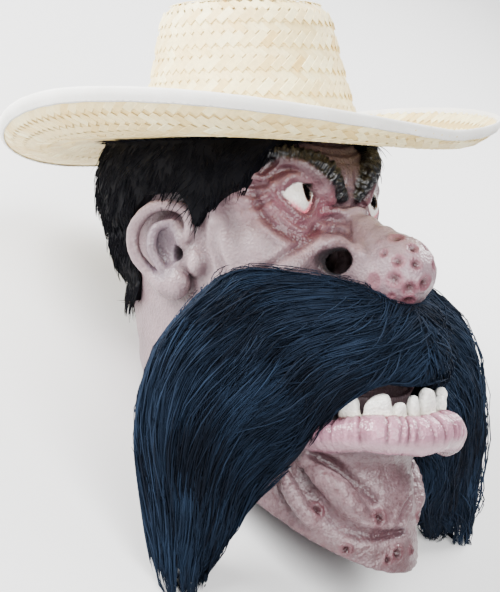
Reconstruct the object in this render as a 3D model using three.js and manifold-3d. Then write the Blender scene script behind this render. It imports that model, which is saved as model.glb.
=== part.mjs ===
// A grotesque over-the-head costume mask: a hollow latex face and neck with a fur wig,
// a huge fur moustache and a straw hat whose brim edge is bound in white tape.
// Everything is built as worn, in millimetres: x to the wearer's left, -y to the front, +z up.
// At the end the whole mask is laid back until it rests on the rear of its neck and on the
// two moustache tips.
import * as THREE from "three";
import { mergeVertices } from "three/addons/utils/BufferGeometryUtils.js";
import Module from "manifold-3d";

// Driving dimensions, in millimetres and degrees
const wall = 2.6;
const gap = 0.35;

const skullWidth = 184;
const skullLength = 216;
const skullHeight = 164;
const skullForward = -6;
const skullUp = 72;
const skullBoxiness = 2.7;

const rimRearForward = -97;
const rimRearUp = -55;
const rimSlope = 32;

const eyeSide = 45;
const eyeForward = 79;
const rightEyeUp = 84;
const leftEyeUp = 78;
const eyeRadius = 17.5;
const pupilWidth = 8;
const pupilHeight = 13;

const noseTipForward = 160;
const noseTipUp = 26;
const noseTipRadius = 27;
const nostrilWidth = 20;

const mouthForward = 128;
const lipUp = -103;
const lipRing = 62;
const lipDepth = 34;
const lipHeight = 30;
const mouthWidth = 90;

const earHeight = 78;
const earWidth = 62;
const earForward = -7;
const earUp = 43;

const hairDepth = 12;
const hairHeight = 152;
const hairTopAboveBrim = 33;
const hairRearward = 4;
const napeUp = 0;
const hairBelowBrim = 1.6;

const furThickness = 38;
const tipForward = 80;
const tipUp = -216;
const wingSweep = 17;

const brimRadius = 210;
const brimUp = 138;
const brimSideRise = 30;
const brimRearDrop = 16;
const brimDip = 13;
const crownHeight = 113;
const crownHalfWidth = 90;
const crownHalfLength = 98;
const crownTopHalf = 71;
const crownLean = 5;
const plaitStep = 1.2;
const strawThickness = 4;

const tapeWidth = 5;
const tapeThickness = 1;
const tapeGap = 0.7;

const restFlat = 1.5;

const wasm = await Module();
wasm.setup();

const at = (side, forward, up) => new THREE.Vector3(side, -forward, up);
const radians = THREE.MathUtils.degToRad;
const smooth = (value, low, high) => THREE.MathUtils.smoothstep(value, low, high);

// A closed geometry as a solid that can be joined and cut
function solidOf(geometry) {
  const bare = new THREE.BufferGeometry();
  bare.setAttribute("position", geometry.getAttribute("position"));
  bare.setIndex(geometry.getIndex());
  const merged = mergeVertices(bare, 1e-3);
  const index = merged.getIndex().array;
  const triangles = [];
  for (let i = 0; i < index.length; i += 3) {
    const [a, b, c] = index.slice(i, i + 3);
    if (a !== b && b !== c && c !== a) triangles.push(a, b, c);
  }
  const vertProperties = new Float32Array(merged.getAttribute("position").array);
  const build = (corners) =>
    new wasm.Manifold(new wasm.Mesh({ numProp: 3, vertProperties, triVerts: new Uint32Array(corners) }));
  const solid = build(triangles);
  return solid.volume() > 0 ? solid : build(triangles.reverse());
}

function meshOf(name, solid, colour, roughness) {
  const { vertProperties, triVerts } = solid.getMesh();
  const geometry = new THREE.BufferGeometry();
  geometry.setAttribute("position", new THREE.BufferAttribute(vertProperties, 3));
  geometry.setIndex(new THREE.BufferAttribute(triVerts, 1));
  geometry.computeVertexNormals();
  const material = new THREE.MeshStandardMaterial({ color: colour, roughness, metalness: 0, flatShading: true });
  const mesh = new THREE.Mesh(geometry, material);
  mesh.name = name;
  return mesh;
}

const join = (solids) => solids.reduce((whole, piece) => whole.add(piece));

// An ellipsoid, or with a boxiness over 2 a rounder-shouldered one, turned by euler angles in degrees
function ball(centre, radii, { detail = 2, boxiness = 2, turn = [0, 0, 0] } = {}) {
  const geometry = new THREE.IcosahedronGeometry(1, detail);
  const position = geometry.getAttribute("position");
  const point = new THREE.Vector3();
  for (let i = 0; i < position.count; i++) {
    point.fromBufferAttribute(position, i);
    const sum = point.toArray().reduce((total, part) => total + Math.abs(part) ** boxiness, 0);
    point.multiplyScalar(sum ** (-1 / boxiness)).multiply(new THREE.Vector3(...radii));
    position.setXYZ(i, ...point.toArray());
  }
  geometry.applyMatrix4(new THREE.Matrix4().makeRotationFromEuler(new THREE.Euler(...turn.map(radians))));
  geometry.translate(...centre.toArray());
  return solidOf(geometry);
}

// A closed skin over rings of points that all have the same count, with a flat fan at each end
function skin(rings) {
  const count = rings[0].length;
  const points = rings.flat();
  const triangles = [];
  for (let ring = 0; ring + 1 < rings.length; ring++) {
    for (let i = 0; i < count; i++) {
      const a = ring * count + i;
      const b = ring * count + ((i + 1) % count);
      triangles.push(a, b, a + count, b, b + count, a + count);
    }
  }
  for (const end of [0, rings.length - 1]) {
    const middle = rings[end].reduce((sum, point) => sum.add(point), new THREE.Vector3()).divideScalar(count);
    points.push(middle);
    for (let i = 0; i < count; i++) {
      const edge = [end * count + i, end * count + ((i + 1) % count)];
      if (end === 0) edge.reverse();
      triangles.push(points.length - 1, ...edge);
    }
  }
  const geometry = new THREE.BufferGeometry().setFromPoints(points);
  geometry.setIndex(triangles);
  return solidOf(geometry);
}

// A round rope through points, as thick at each as its radius says
function rope(points, radii, { sides = 8, steps = 12 } = {}) {
  const curve = new THREE.CatmullRomCurve3(points);
  const frames = curve.computeFrenetFrames(steps, false);
  const rings = frames.normals.map((normal, step) => {
    const place = (step / steps) * (radii.length - 1);
    const low = Math.min(Math.floor(place), radii.length - 2);
    const radius = THREE.MathUtils.lerp(radii[low], radii[low + 1], place - low);
    return Array.from({ length: sides }, (_, i) => {
      const angle = (i / sides) * 2 * Math.PI;
      return curve
        .getPoint(step / steps)
        .addScaledVector(normal, radius * Math.cos(angle))
        .addScaledVector(frames.binormals[step], radius * Math.sin(angle));
    });
  });
  return skin(rings);
}

// The head's big rounded forms, each grown by some millimetres, or shrunk by a negative growth
const skull = (grow) =>
  ball(
    at(0, skullForward, skullUp),
    [skullWidth / 2 + grow, skullLength / 2 + grow, skullHeight / 2 + grow],
    { detail: grow < 0 ? 2 : 3, boxiness: skullBoxiness },
  );

// Level slices of the neck and jaw, from the cheeks to below the cut rim: height, middle, half length, half width
const jawSlices = [
  [50, 0, 103, 86],
  [0, 0, 108, 86],
  [-58, 15, 117, 83],
  [-110, 28, 122, 82],
  [-166, 37, 124, 81],
  [-262, 42, 122, 79],
];

function jaw(grow) {
  const sides = grow < 0 ? 14 : 24;
  const rings = jawSlices.map(([up, forward, halfLength, halfWidth]) =>
    Array.from({ length: sides }, (_, i) => {
      const angle = (i / sides) * 2 * Math.PI;
      const side = (halfWidth + grow) * Math.sin(angle);
      return at(side, forward + (halfLength + grow) * Math.cos(angle), up);
    }),
  );
  return skin(rings);
}

const eyeUp = (side) => (side < 0 ? rightEyeUp : leftEyeUp);

// The rest of the hollow face, each form as its middle (side, forward, up) and its three radii
const facePads = [
  { middle: [0, 64, 98], radii: [66, 42, 32] },
  { middle: [0, 58, 36], radii: [82, 50, 50] },
  { middle: [0, 84, -52], radii: [80, 72, 60] },
  { middle: [0, 116, 36], radii: [27, 34, 24] },
  { middle: [0, mouthForward - 4, lipUp - 12], radii: [lipRing + 2, lipRing, 17] },
  { middle: [0, noseTipForward, noseTipUp], radii: [noseTipRadius, noseTipRadius, noseTipRadius] },
  { middle: [-24, 118, 32], radii: [17, 24, 18] },
  { middle: [24, 118, 32], radii: [17, 24, 18] },
  { middle: [-eyeSide, eyeForward, rightEyeUp], radii: [eyeRadius, eyeRadius, eyeRadius] },
  { middle: [eyeSide, eyeForward, leftEyeUp], radii: [eyeRadius, eyeRadius, eyeRadius] },
];

const noseBridge = (grow) =>
  rope(
    [at(0, 84, 70), at(0, 112, 57), at(0, 136, 43), at(0, noseTipForward - 6, noseTipUp + 4)],
    [15, 16, 20, 23].map((radius) => radius + grow),
    { sides: 10, steps: 4 },
  );

// What is hollow follows these forms, less the wall
function hollowForms(grow) {
  const pads = facePads.map(({ middle, radii }) => {
    const detail = grow < 0 ? 1 : 2;
    return ball(at(...middle), radii.map((radius) => radius + grow), { detail });
  });
  return [skull(grow), jaw(grow), noseBridge(grow), ...pads];
}

// The lower lip is a fat roll round the front of the jaw
function lowerLip(grow) {
  const steps = 18;
  const sides = 8;
  const sweep = radians(104);
  const rings = Array.from({ length: steps + 1 }, (_, step) => {
    const turn = -sweep + (2 * sweep * step) / steps;
    const taper = 0.45 + 0.55 * Math.sqrt(Math.cos((turn / sweep) * (Math.PI / 2)) + 0.02);
    return Array.from({ length: sides }, (_, i) => {
      const angle = (i / sides) * 2 * Math.PI;
      const radius = lipRing + (lipDepth / 2 + grow) * taper * Math.cos(angle);
      const up = lipUp + (lipHeight / 2 + grow) * taper * Math.sin(angle);
      return at(radius * Math.sin(turn), mouthForward + radius * Math.cos(turn), up);
    });
  });
  return skin(rings);
}

// The snaggle teeth stand on the lip: turn from the front in degrees, width and height
const teethRow = [
  [-70, 17, 24],
  [-48, 22, 20],
  [-31, 12, 14],
  [-19, 9, 19],
  [-2, 22, 23],
  [24, 15, 17],
  [45, 19, 22],
  [66, 14, 18],
];
const toothDepth = 11;

function tooth(grow, [turn, width, height]) {
  const geometry = new THREE.CylinderGeometry(0.6, 0.7, 1, 6);
  geometry.rotateX(Math.PI / 2);
  geometry.scale(width + 2 * grow, toothDepth + 2 * grow, height + 10 + 2 * grow);
  geometry.translate(0, 0, (height - 10) / 2);
  geometry.rotateZ(radians(turn));
  const radius = lipRing - 6;
  const place = at(
    radius * Math.sin(radians(turn)),
    mouthForward + radius * Math.cos(radians(turn)),
    lipUp + lipHeight / 2 - 3,
  );
  geometry.translate(...place.toArray());
  return solidOf(geometry);
}

// Each brow is a heavy ridged rope that dives from the hat to the root of the nose
const brow = (grow, side) =>
  rope(
    [at(side * 66, 72, 122), at(side * 44, 92, 118), at(side * 26, 104, 106), at(side * 11, 105, 88)],
    [6, 8, 9, 6].map((radius) => radius + grow),
    { sides: 6, steps: 8 },
  );

// Lids and the heavy bag below each eye
function lids(grow, side) {
  const middle = eyeUp(side);
  const lid = (lift, reach) =>
    rope(
      [
        at(side * (eyeSide + 24), eyeForward - 8, middle - 2),
        at(side * (eyeSide + 10), eyeForward + reach - 1, middle + lift),
        at(side * (eyeSide - 9), eyeForward + reach + 1, middle + lift),
        at(side * (eyeSide - 22), eyeForward + 12, middle - 3),
      ],
      [3.5, 5, 5, 3.5].map((radius) => radius + grow),
      { sides: 5, steps: 4 },
    );
  const bag = ball(at(side * (eyeSide + 3), eyeForward + 3, middle - 22), [25 + grow, 13 + grow, 12 + grow], {
    detail: 1,
  });
  return join([lid(15, 10), lid(-14, 10), bag]);
}

// The ear is a tilted dish with a rolled helix, a hollow, a tragus and a fat lobe
function ear(grow, side) {
  const half = earHeight / 2;
  const spread = earWidth / 2;
  const out = (forward, up) => {
    const flare = 93 + 17 * smooth(earForward + spread - forward, 0, earWidth) * (up > earUp - half / 2 ? 1 : 0.6);
    return at(side * flare, forward, up);
  };
  const helix = rope(
    [
      out(earForward + 10, earUp + 2),
      out(earForward + 22, earUp + half * 0.4),
      out(earForward + 17, earUp + half * 0.84),
      out(earForward - 6, earUp + half * 0.92),
      out(earForward - spread * 0.78, earUp + half * 0.5),
      out(earForward - spread * 0.8, earUp - half * 0.05),
      out(earForward - spread * 0.45, earUp - half * 0.5),
      out(earForward - 3, earUp - half * 0.72),
    ],
    [3, 5, 5.5, 5.5, 6, 5.5, 6, 9].map((radius) => radius + grow),
    { sides: 5, steps: 13 },
  );
  const dish = ball(
    at(side * 90, earForward - 2, earUp),
    [12 + grow, spread * 0.72 + grow, half * 0.8 + grow],
    { detail: 1, turn: [0, 0, side * 15] },
  );
  const lobe = ball(out(earForward + 1, earUp - half + 12), [9 + grow, 13 + grow, 12 + grow], { detail: 1 });
  const tragus = ball(out(earForward + 25, earUp - 12), [9 + grow, 6 + grow, 9 + grow], { detail: 1 });
  return join([helix, dish, lobe, tragus]);
}

const earHollow = (side) =>
  ball(at(side * 108, earForward + 1, earUp + 1), [13, 14, 22], { detail: 1, turn: [0, 0, side * 15] });

const solidForms = (grow) => [
  lowerLip(grow),
  ...teethRow.map((row) => tooth(grow, row)),
  ...[-1, 1].flatMap((side) => [brow(grow, side), lids(grow, side), ear(grow, side)]),
];

// A wedge of space below the neck's slanting cut
function belowRim() {
  const size = 900;
  const geometry = new THREE.BoxGeometry(size, size, size);
  geometry.translate(0, 0, -size / 2);
  geometry.rotateX(radians(rimSlope));
  geometry.translate(...at(0, rimRearForward, rimRearUp).toArray());
  return solidOf(geometry);
}

// The wearer sees through the pupils and breathes through the nostrils and the mouth
function openings() {
  const holes = [-1, 1].flatMap((side) => {
    const pupil = new THREE.CylinderGeometry(0.5, 0.5, 60, 8);
    pupil.scale(pupilWidth, 1, pupilHeight);
    pupil.rotateX(radians(-8));
    pupil.translate(...at(side * eyeSide, eyeForward + 10, eyeUp(side) + 6).toArray());
    const nostril = ball(at(side * 35, 121, 31), [14, nostrilWidth / 2, 8], { detail: 1, turn: [0, 0, side * 30] });
    return [solidOf(pupil), nostril];
  });
  return join([...holes, ball(at(0, 139, -70), [mouthWidth / 2, 38, 6], { detail: 1 })]);
}

const cavity = join(hollowForms(-wall));
const outside = join([...hollowForms(0), ...solidForms(0)]);
const cleared = join([...hollowForms(gap), ...solidForms(gap)]);
const maskOpen = outside
  .subtract(join([-1, 1].map(earHollow)))
  .subtract(cavity)
  .subtract(openings())
  .subtract(belowRim());

// The wig follows the skull; seen from the side its edge runs from the brow to a sideburn, over the ear to the nape
function hairZone() {
  const hairTop = brimUp - strawThickness - hairBelowBrim;
  const edge = [
    [84, hairTop],
    [62, 93],
    [46, 85],
    [32, 73],
    [23, 62],
    [19, 80],
    [earForward + 16, earUp + earHeight / 2 + 9],
    [earForward - 18, earUp + earHeight / 2 + 6],
    [earForward - earWidth / 2 - 8, earUp + 26],
    [earForward - earWidth / 2 - 12, earUp - 24],
    [-60, napeUp],
    [-150, napeUp],
    [-150, hairTop],
  ];
  const shape = new THREE.Shape(edge.map(([forward, up]) => new THREE.Vector2(-forward, up)));
  const geometry = new THREE.ExtrudeGeometry(shape, { depth: 300, bevelEnabled: false });
  geometry.translate(0, 0, -150);
  geometry.rotateY(Math.PI / 2);
  geometry.rotateX(Math.PI / 2);
  return solidOf(geometry);
}

// The fur stands thickest round the crown of the head and thins out at the nape
const hairBulk = ball(
  at(0, skullForward - hairRearward, brimUp + hairTopAboveBrim - hairHeight / 2),
  [skullWidth / 2 + hairDepth, skullLength / 2 + hairDepth + 1, hairHeight / 2],
  { detail: 3, boxiness: 2.6 },
);
const hair = join([hairBulk, skull(hairDepth / 2), jaw(hairDepth / 2)]).subtract(cleared).intersect(hairZone());

// The hat's drape: the brim sags, then curls up, most of all at the two sides, and the round crown becomes an oval
function drape(point) {
  const radius = Math.hypot(point.x, point.y);
  const inner = crownHalfLength * 1.3;
  const outward = Math.max(0, (radius - inner) / (brimRadius - inner));
  const sideways = radius > 0 ? (point.x / radius) ** 2 : 0;
  const front = point.y < 0;
  const rise = front
    ? (brimSideRise + 1.5) * sideways ** 0.7 - 1.5
    : (brimSideRise + brimRearDrop) * sideways - brimRearDrop;
  const sag = brimDip * smooth(outward, 0, 0.8) * (1 - 0.85 * sideways) * (front ? 1 : 1.15);
  const curl = outward ** 4;
  point.z += (1 - curl) * -sag + curl * rise;
  const oval = 1 - smooth(radius, crownHalfLength, inner);
  point.x *= 1 - oval * (1 - crownHalfWidth / crownHalfLength);
  point.y += (crownLean * Math.max(point.z, 0) * oval) / crownHeight;
  return point;
}

function drapedLathe(profile, segments) {
  const geometry = new THREE.LatheGeometry(profile.map(([r, z]) => new THREE.Vector2(r, z)), segments);
  geometry.rotateX(Math.PI / 2);
  const position = geometry.getAttribute("position");
  const point = new THREE.Vector3();
  for (let i = 0; i < position.count; i++) {
    drape(point.fromBufferAttribute(position, i));
    position.setXYZ(i, point.x, point.y, point.z + brimUp);
  }
  return solidOf(geometry);
}

// Crown and brim are one sewn plait: its rows show as low steps round the crown
function hatProfile() {
  const tiers = 3;
  const shoulder = 20;
  const top = crownTopHalf;
  const rows = [[0, crownHeight]];
  rows.push([top * 0.6, crownHeight - 1.5]);
  rows.push([top - shoulder * 0.3, crownHeight - 5]);
  const wallHeight = crownHeight - shoulder;
  for (let tier = 0; tier < tiers; tier++) {
    const share = tier / tiers;
    const radius = THREE.MathUtils.lerp(top + 3, crownHalfLength - 3, share ** 0.8);
    rows.push([radius + plaitStep * 0.5, wallHeight * (1 - share)]);
    const next = THREE.MathUtils.lerp(top + 3, crownHalfLength - 3, ((tier + 1) / tiers) ** 0.8);
    rows.push([next - plaitStep * 0.5, wallHeight * (1 - (tier + 1) / tiers) + (tier + 1 < tiers ? 1 : 5)]);
  }
  const brimRows = 5;
  const tapeEdge = brimRadius - tapeWidth;
  for (let row = 0; row <= brimRows; row++) {
    rows.push([THREE.MathUtils.lerp(crownHalfLength + 1, tapeEdge, row / brimRows), 0]);
  }
  rows.push([brimRadius, 0], [brimRadius, -strawThickness]);
  for (let row = brimRows; row >= 0; row--) {
    rows.push([THREE.MathUtils.lerp(crownHalfLength - 3, tapeEdge, row / brimRows), -strawThickness]);
  }
  rows.push([crownHalfLength - 4 - strawThickness, 5]);
  rows.push([top + 3 - strawThickness, wallHeight]);
  rows.push([top - shoulder * 0.3 - strawThickness, crownHeight - 5 - strawThickness]);
  rows.push([0, crownHeight - strawThickness]);
  return rows;
}

// The tape is folded over the brim's edge, so its section is a U lying on its side
function tapeProfile() {
  const inner = brimRadius - tapeWidth;
  const clear = tapeGap;
  const outer = tapeGap + tapeThickness;
  return [
    [inner, clear],
    [inner, outer],
    [brimRadius + clear, outer],
    [brimRadius + outer, outer - tapeThickness],
    [brimRadius + outer, -strawThickness - clear],
    [brimRadius + clear, -strawThickness - outer],
    [inner, -strawThickness - outer],
    [inner, -strawThickness - clear],
    [brimRadius + clear, -strawThickness - clear],
    [brimRadius + clear, clear],
    [inner, clear],
  ];
}

const hatSegments = 32;
const hat = drapedLathe(hatProfile(), hatSegments);
const tape = drapedLathe(tapeProfile(), hatSegments);

// Each half of the moustache lies between an upper and a lower edge, from the nose to the hanging tip:
// side, forward, up. Sweep moves the middle of a wing back on the right and forward on the left.
const upperEdge = [
  [0, 166, 2],
  [42, 132, 18],
  [96, 74, 26],
  [146, 76, 6],
  [188, 80, -34],
  [207, 78, -96],
  [206, 78, -158],
  [202, tipForward, tipUp],
];
const lowerEdge = [
  [0, 176, -74],
  [38, 168, -82],
  [68, 134, -100],
  [80, 112, -128],
  [96, 96, -156],
  [118, 86, -184],
  [148, tipForward, tipUp + 3],
];

function moustacheEdge(points, side, share) {
  const curve = new THREE.CatmullRomCurve3(points.map(([x, forward, up]) => at(side * x, forward, up)));
  const point = curve.getPoint(share);
  point.y -= side * wingSweep * Math.sin(Math.PI * share) ** 0.8 * smooth(share, 0.2, 0.6);
  return point;
}

function moustacheWhole() {
  const stations = 11;
  const locks = 5;
  const across = locks * 2;
  const jag = 9;
  const rings = [];
  for (let station = -stations; station <= stations; station++) {
    const side = station < 0 ? -1 : 1;
    const share = Math.abs(station) / stations;
    const top = moustacheEdge(upperEdge, side, share);
    const low = moustacheEdge(lowerEdge, side, share);
    const width = low.clone().sub(top);
    const outwards = at(side * (0.25 + 0.5 * share), 1, 0.1 * (1 - share)).normalize();
    const half = (furThickness / 2) * (1 - 0.55 * share ** 3);
    const ring = [];
    for (const face of [1, -1]) {
      for (let i = 0; i < across; i++) {
        const place = face > 0 ? i / across : 1 - i / across;
        const round = Math.sin(Math.PI * Math.min(Math.max(place, 0.02), 0.98)) ** 0.55;
        const ridge = i % 2 ? 1 : 0.8;
        const point = top.clone().addScaledVector(width, place);
        point.addScaledVector(outwards, half * round * ridge * face);
        if (share === 1 && i % 2 === 0) point.z += jag;
        ring.push(point);
      }
    }
    rings.push(ring);
  }
  return skin(rings);
}

const moustacheHung = moustacheWhole().subtract(cleared);

// Laid back, the mask stands on the rear of its neck and on both moustache tips, each with a small flat
const tilt = Math.atan2(rimRearUp - tipUp, tipForward - rimRearForward);

function lowest(solid) {
  const { vertProperties } = solid.getMesh();
  let least = Infinity;
  for (let i = 0; i < vertProperties.length; i += 3) {
    const height = vertProperties[i + 2] * Math.cos(tilt) - vertProperties[i + 1] * Math.sin(tilt);
    least = Math.min(least, height);
  }
  return least;
}

const floorHeight = Math.max(lowest(maskOpen), lowest(moustacheHung)) + restFlat;

function belowFloor() {
  const size = 900;
  const geometry = new THREE.BoxGeometry(size, size, size);
  geometry.translate(0, 0, floorHeight - size / 2);
  geometry.rotateX(tilt);
  return solidOf(geometry);
}

const maskShell = maskOpen.subtract(belowFloor());
const moustache = moustacheHung.subtract(belowFloor());

const nodes = [
  ["mask_shell", maskShell, 0xb8a2a8, 0.42],
  ["hair", hair, 0x16171f, 0.9],
  ["moustache", moustache, 0x22303f, 0.85],
  ["hat_straw", hat, 0xefe6c6, 0.75],
  ["hat_binding", tape, 0xe6e4de, 0.8],
];

const mask = new THREE.Group();
const worn = new THREE.Group();
nodes.forEach(([name, solid, colour, roughness]) => worn.add(meshOf(name, solid, colour, roughness)));
worn.rotation.x = -tilt;
mask.add(worn);
mask.updateMatrixWorld(true);
const box = new THREE.Box3().setFromObject(mask, true);
const middle = box.getCenter(new THREE.Vector3());
worn.position.set(-middle.x, -middle.y, -box.min.z);

export default mask;
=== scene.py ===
import math

import bmesh
import bpy
import numpy as np
import openvdb
from mathutils import Matrix, Vector


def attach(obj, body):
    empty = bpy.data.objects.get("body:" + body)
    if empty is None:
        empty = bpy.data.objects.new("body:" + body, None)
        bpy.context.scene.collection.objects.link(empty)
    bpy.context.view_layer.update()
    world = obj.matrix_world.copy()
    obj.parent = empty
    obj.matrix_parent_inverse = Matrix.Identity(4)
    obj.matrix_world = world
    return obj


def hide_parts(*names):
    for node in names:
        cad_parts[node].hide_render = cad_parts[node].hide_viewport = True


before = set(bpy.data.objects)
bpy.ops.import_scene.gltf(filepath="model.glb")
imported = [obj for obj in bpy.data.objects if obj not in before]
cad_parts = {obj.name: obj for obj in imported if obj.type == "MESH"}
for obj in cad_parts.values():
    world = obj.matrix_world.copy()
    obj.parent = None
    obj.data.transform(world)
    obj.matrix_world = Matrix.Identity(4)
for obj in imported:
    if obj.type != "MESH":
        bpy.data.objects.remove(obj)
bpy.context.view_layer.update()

# Camera. The photograph shows the mask upright, turned half to the right, seen from just below the brim.
# The mask itself lies back on its neck and moustache tips, so the camera looks down on it from above the chin.
# Shapes are worked out as worn, in millimetres: x to the wearer's left, -y to the front, +z up.
TILT = math.atan2(161, 177)
PLACE = np.array([0.0, 13.668, 105.652])
LAID = np.array(
    [[1, 0, 0], [0, math.cos(TILT), math.sin(TILT)], [0, -math.sin(TILT), math.cos(TILT)]]
)


def laid(points):
    """Worn millimetres to metres in the row frame."""
    return (np.asarray(points, float) @ LAID.T + PLACE) / 1000


VIEW_TURN = math.radians(50)
VIEW_DROP = math.radians(1.6)
VIEW_AWAY = 2000
VIEW_HEIGHT = 59
ahead = np.array([math.sin(VIEW_TURN), math.cos(VIEW_TURN), 0])
right = np.array([math.cos(VIEW_TURN), -math.sin(VIEW_TURN), 0])
level_up = np.array([0, 0, 1.0])
look = ahead * math.cos(VIEW_DROP) - level_up * math.sin(VIEW_DROP)
camera_up = np.cross(right, look)


def new_object(name, data):
    made = bpy.data.objects.new(name, data)
    bpy.context.scene.collection.objects.link(made)
    return made


camera = new_object("camera", bpy.data.cameras.new("camera"))
camera.data.lens = 143.5
camera.data.clip_end = 40
turned = Matrix(np.stack([LAID @ right, LAID @ camera_up, -(LAID @ look)], axis=1).tolist())
camera.matrix_world = Matrix.Translation(laid(-VIEW_AWAY * ahead + [0, 0, VIEW_HEIGHT])) @ turned.to_4x4()
bpy.context.scene.camera = camera


# Floor and light. A plain pale sweep, with a big soft light over the hat, a wide fill beside the camera
# and a low one opposite.
def mesh_object(name, points, faces, smooth=True):
    mesh = bpy.data.meshes.new(name)
    mesh.from_pydata([tuple(p) for p in points], [], [tuple(f) for f in faces])
    if smooth:
        mesh.shade_smooth()
    return new_object(name, mesh)


def fill(tree, node, values):
    """Sets a node's inputs, each to a value or to a link from another node's output."""
    for socket, value in dict(values).items():
        if isinstance(value, bpy.types.NodeSocket):
            tree.links.new(value, node.inputs[socket])
        else:
            node.inputs[socket].default_value = value


def node_maker(tree):
    """A function that adds a node to a tree, with its settings and its inputs."""

    def add(kind, values=(), **settings):
        node = tree.nodes.new(kind)
        for key, value in settings.items():
            setattr(node, key, value)
        fill(tree, node, values)
        return node

    return add


def colour(red, green, blue):
    """A picture's 0-255 colour as linear values."""
    shares = [c / 255 for c in (red, green, blue)]
    return tuple(c / 12.92 if c <= 0.04045 else ((c + 0.055) / 1.055) ** 2.4 for c in shares) + (1.0,)


class Finish:
    """A material, with short ways to add the nodes that feed its shader."""

    def __init__(self, name):
        self.material = bpy.data.materials.new(name)
        self.material.use_nodes = True
        self.tree = self.material.node_tree
        self.add = node_maker(self.tree)
        self.place = self.add("ShaderNodeTexCoord").outputs["Object"]

    def noise(self, scale, detail, rough=0.5):
        values = {"Vector": self.place, "Scale": scale, "Detail": detail, "Roughness": rough}
        return self.add("ShaderNodeTexNoise", values).outputs["Fac"]

    def attribute(self, name, output="Fac"):
        return self.add("ShaderNodeAttribute", attribute_name=name).outputs[output]

    def spread(self, value, low, high, to_low, to_high):
        values = {"Value": value, "From Min": low, "From Max": high, "To Min": to_low, "To Max": to_high}
        return self.add("ShaderNodeMapRange", values).outputs["Result"]

    def times(self, a, b):
        return self.add("ShaderNodeMath", {0: a, 1: b}, operation="MULTIPLY").outputs["Value"]

    def shaded(self, tint, amount):
        return self.add("ShaderNodeVectorMath", {0: tint, "Scale": amount}, operation="SCALE").outputs["Vector"]

    def mix(self, share, a, b):
        return self.add("ShaderNodeMix", {"Factor": share, "A": a, "B": b}, data_type="RGBA").outputs["Result"]

    def relief(self, height, strength, distance):
        values = {"Height": height, "Strength": strength, "Distance": distance}
        return self.add("ShaderNodeBump", values).outputs["Normal"]

    def shade(self, values):
        """Feeds the shader and gives the material."""
        fill(self.tree, self.tree.nodes["Principled BSDF"], values)
        return self.material


floor = mesh_object("floor", [(-9, -9, 0), (9, -9, 0), (9, 9, 0), (-9, 9, 0)], [(0, 1, 2, 3)])
sweep = Finish("pale_floor")
dust = sweep.add("ShaderNodeTexNoise", {"Scale": 3.0, "Detail": 2.0}).outputs["Fac"]
pale = sweep.mix(dust, (0.86, 0.86, 0.86, 1), (0.89, 0.89, 0.89, 1))
floor.data.materials.append(sweep.shade({"Base Color": pale, "Roughness": 0.8}))

world = bpy.data.worlds.new("studio")
world.use_nodes = True
fill(world.node_tree, world.node_tree.nodes["Background"], {"Color": (1, 1, 1, 1), "Strength": 0.3})
bpy.context.scene.world = world

for name, worn_place, size, watts in (
    ("key", -900 * right - 700 * ahead + 1300 * level_up, 1.2, 132),
    ("fill", 700 * right - 1500 * ahead + 300 * level_up, 1.4, 42),
    ("edge", 900 * right + 500 * ahead + 900 * level_up, 0.9, 36),
):
    lamp = bpy.data.lights.new(name, "AREA")
    lamp.shape = "DISK"
    lamp.size = size
    lamp.energy = watts
    lit = new_object(name, lamp)
    lit.location = Vector(laid(worn_place))
    lit.rotation_euler = (Vector(laid([0, -20, 20])) - lit.location).to_track_quat("-Z", "Y").to_euler()


# Rubber face and neck. One hollow latex casting, 2.6 mm thick, open at the neck, pupils, nostrils and mouth:
# a pitted bulb nose, a rolled lip with snaggle teeth, ridged brows, bagged eyes, big ears and a warty chin.
# Its outside is the zero level of one blended distance field, and its fine relief is pushed into the mesh.
SKIN_WALL = 2.6
EYE_BALL = 17.5
PUPIL = (4.2, 16, 6.8)
NOSE_BULB, BULB_RADIUS = (0, 160, 26), 27
NOSTRIL, NOSTRIL_TURN = (17, 14, 10.5), 20
LIP_MIDDLE, LIP_ROUND, LIP_RADIUS = 128, 62, 16
TEETH_ROUND = 56
CELL = 1.6
grid_low = np.array([-120.0, -214.0, -222.0])
grid_high = np.array([120.0, 122.0, 160.0])
axes = [np.arange(a, b, CELL) for a, b in zip(grid_low, grid_high)]
gx, gy, gz = (g.astype(np.float32) for g in np.meshgrid(*axes, indexing="ij"))


def near(low, high, margin):
    """The part of the grid that holds a box with a margin round it."""
    a = np.floor((np.array(low) - margin - grid_low) / CELL).astype(int)
    b = np.ceil((np.array(high) + margin - grid_low) / CELL).astype(int) + 1
    return tuple(slice(max(0, i), max(1, j)) for i, j in zip(a, b))


def union(a, b, soft):
    share = np.clip(0.5 + 0.5 * (b - a) / soft, 0, 1)
    return b * (1 - share) + a * share - soft * share * (1 - share)


def egg(points, centre, radii, turn=0.0):
    """Distance to an ellipsoid whose middle is (side, forward, up), turned about the upright."""
    x, y, z = points
    dx, dy, dz = x - centre[0], y + centre[1], z - centre[2]
    c, s = math.cos(math.radians(turn)), math.sin(math.radians(turn))
    px, py, pz = (c * dx + s * dy) / radii[0], (c * dy - s * dx) / radii[1], dz / radii[2]
    reach = np.sqrt(px**2 + py**2 + pz**2)
    slope = np.sqrt((px / radii[0]) ** 2 + (py / radii[1]) ** 2 + (pz / radii[2]) ** 2)
    return reach * (reach - 1) / np.maximum(slope, 1e-6)


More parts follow.
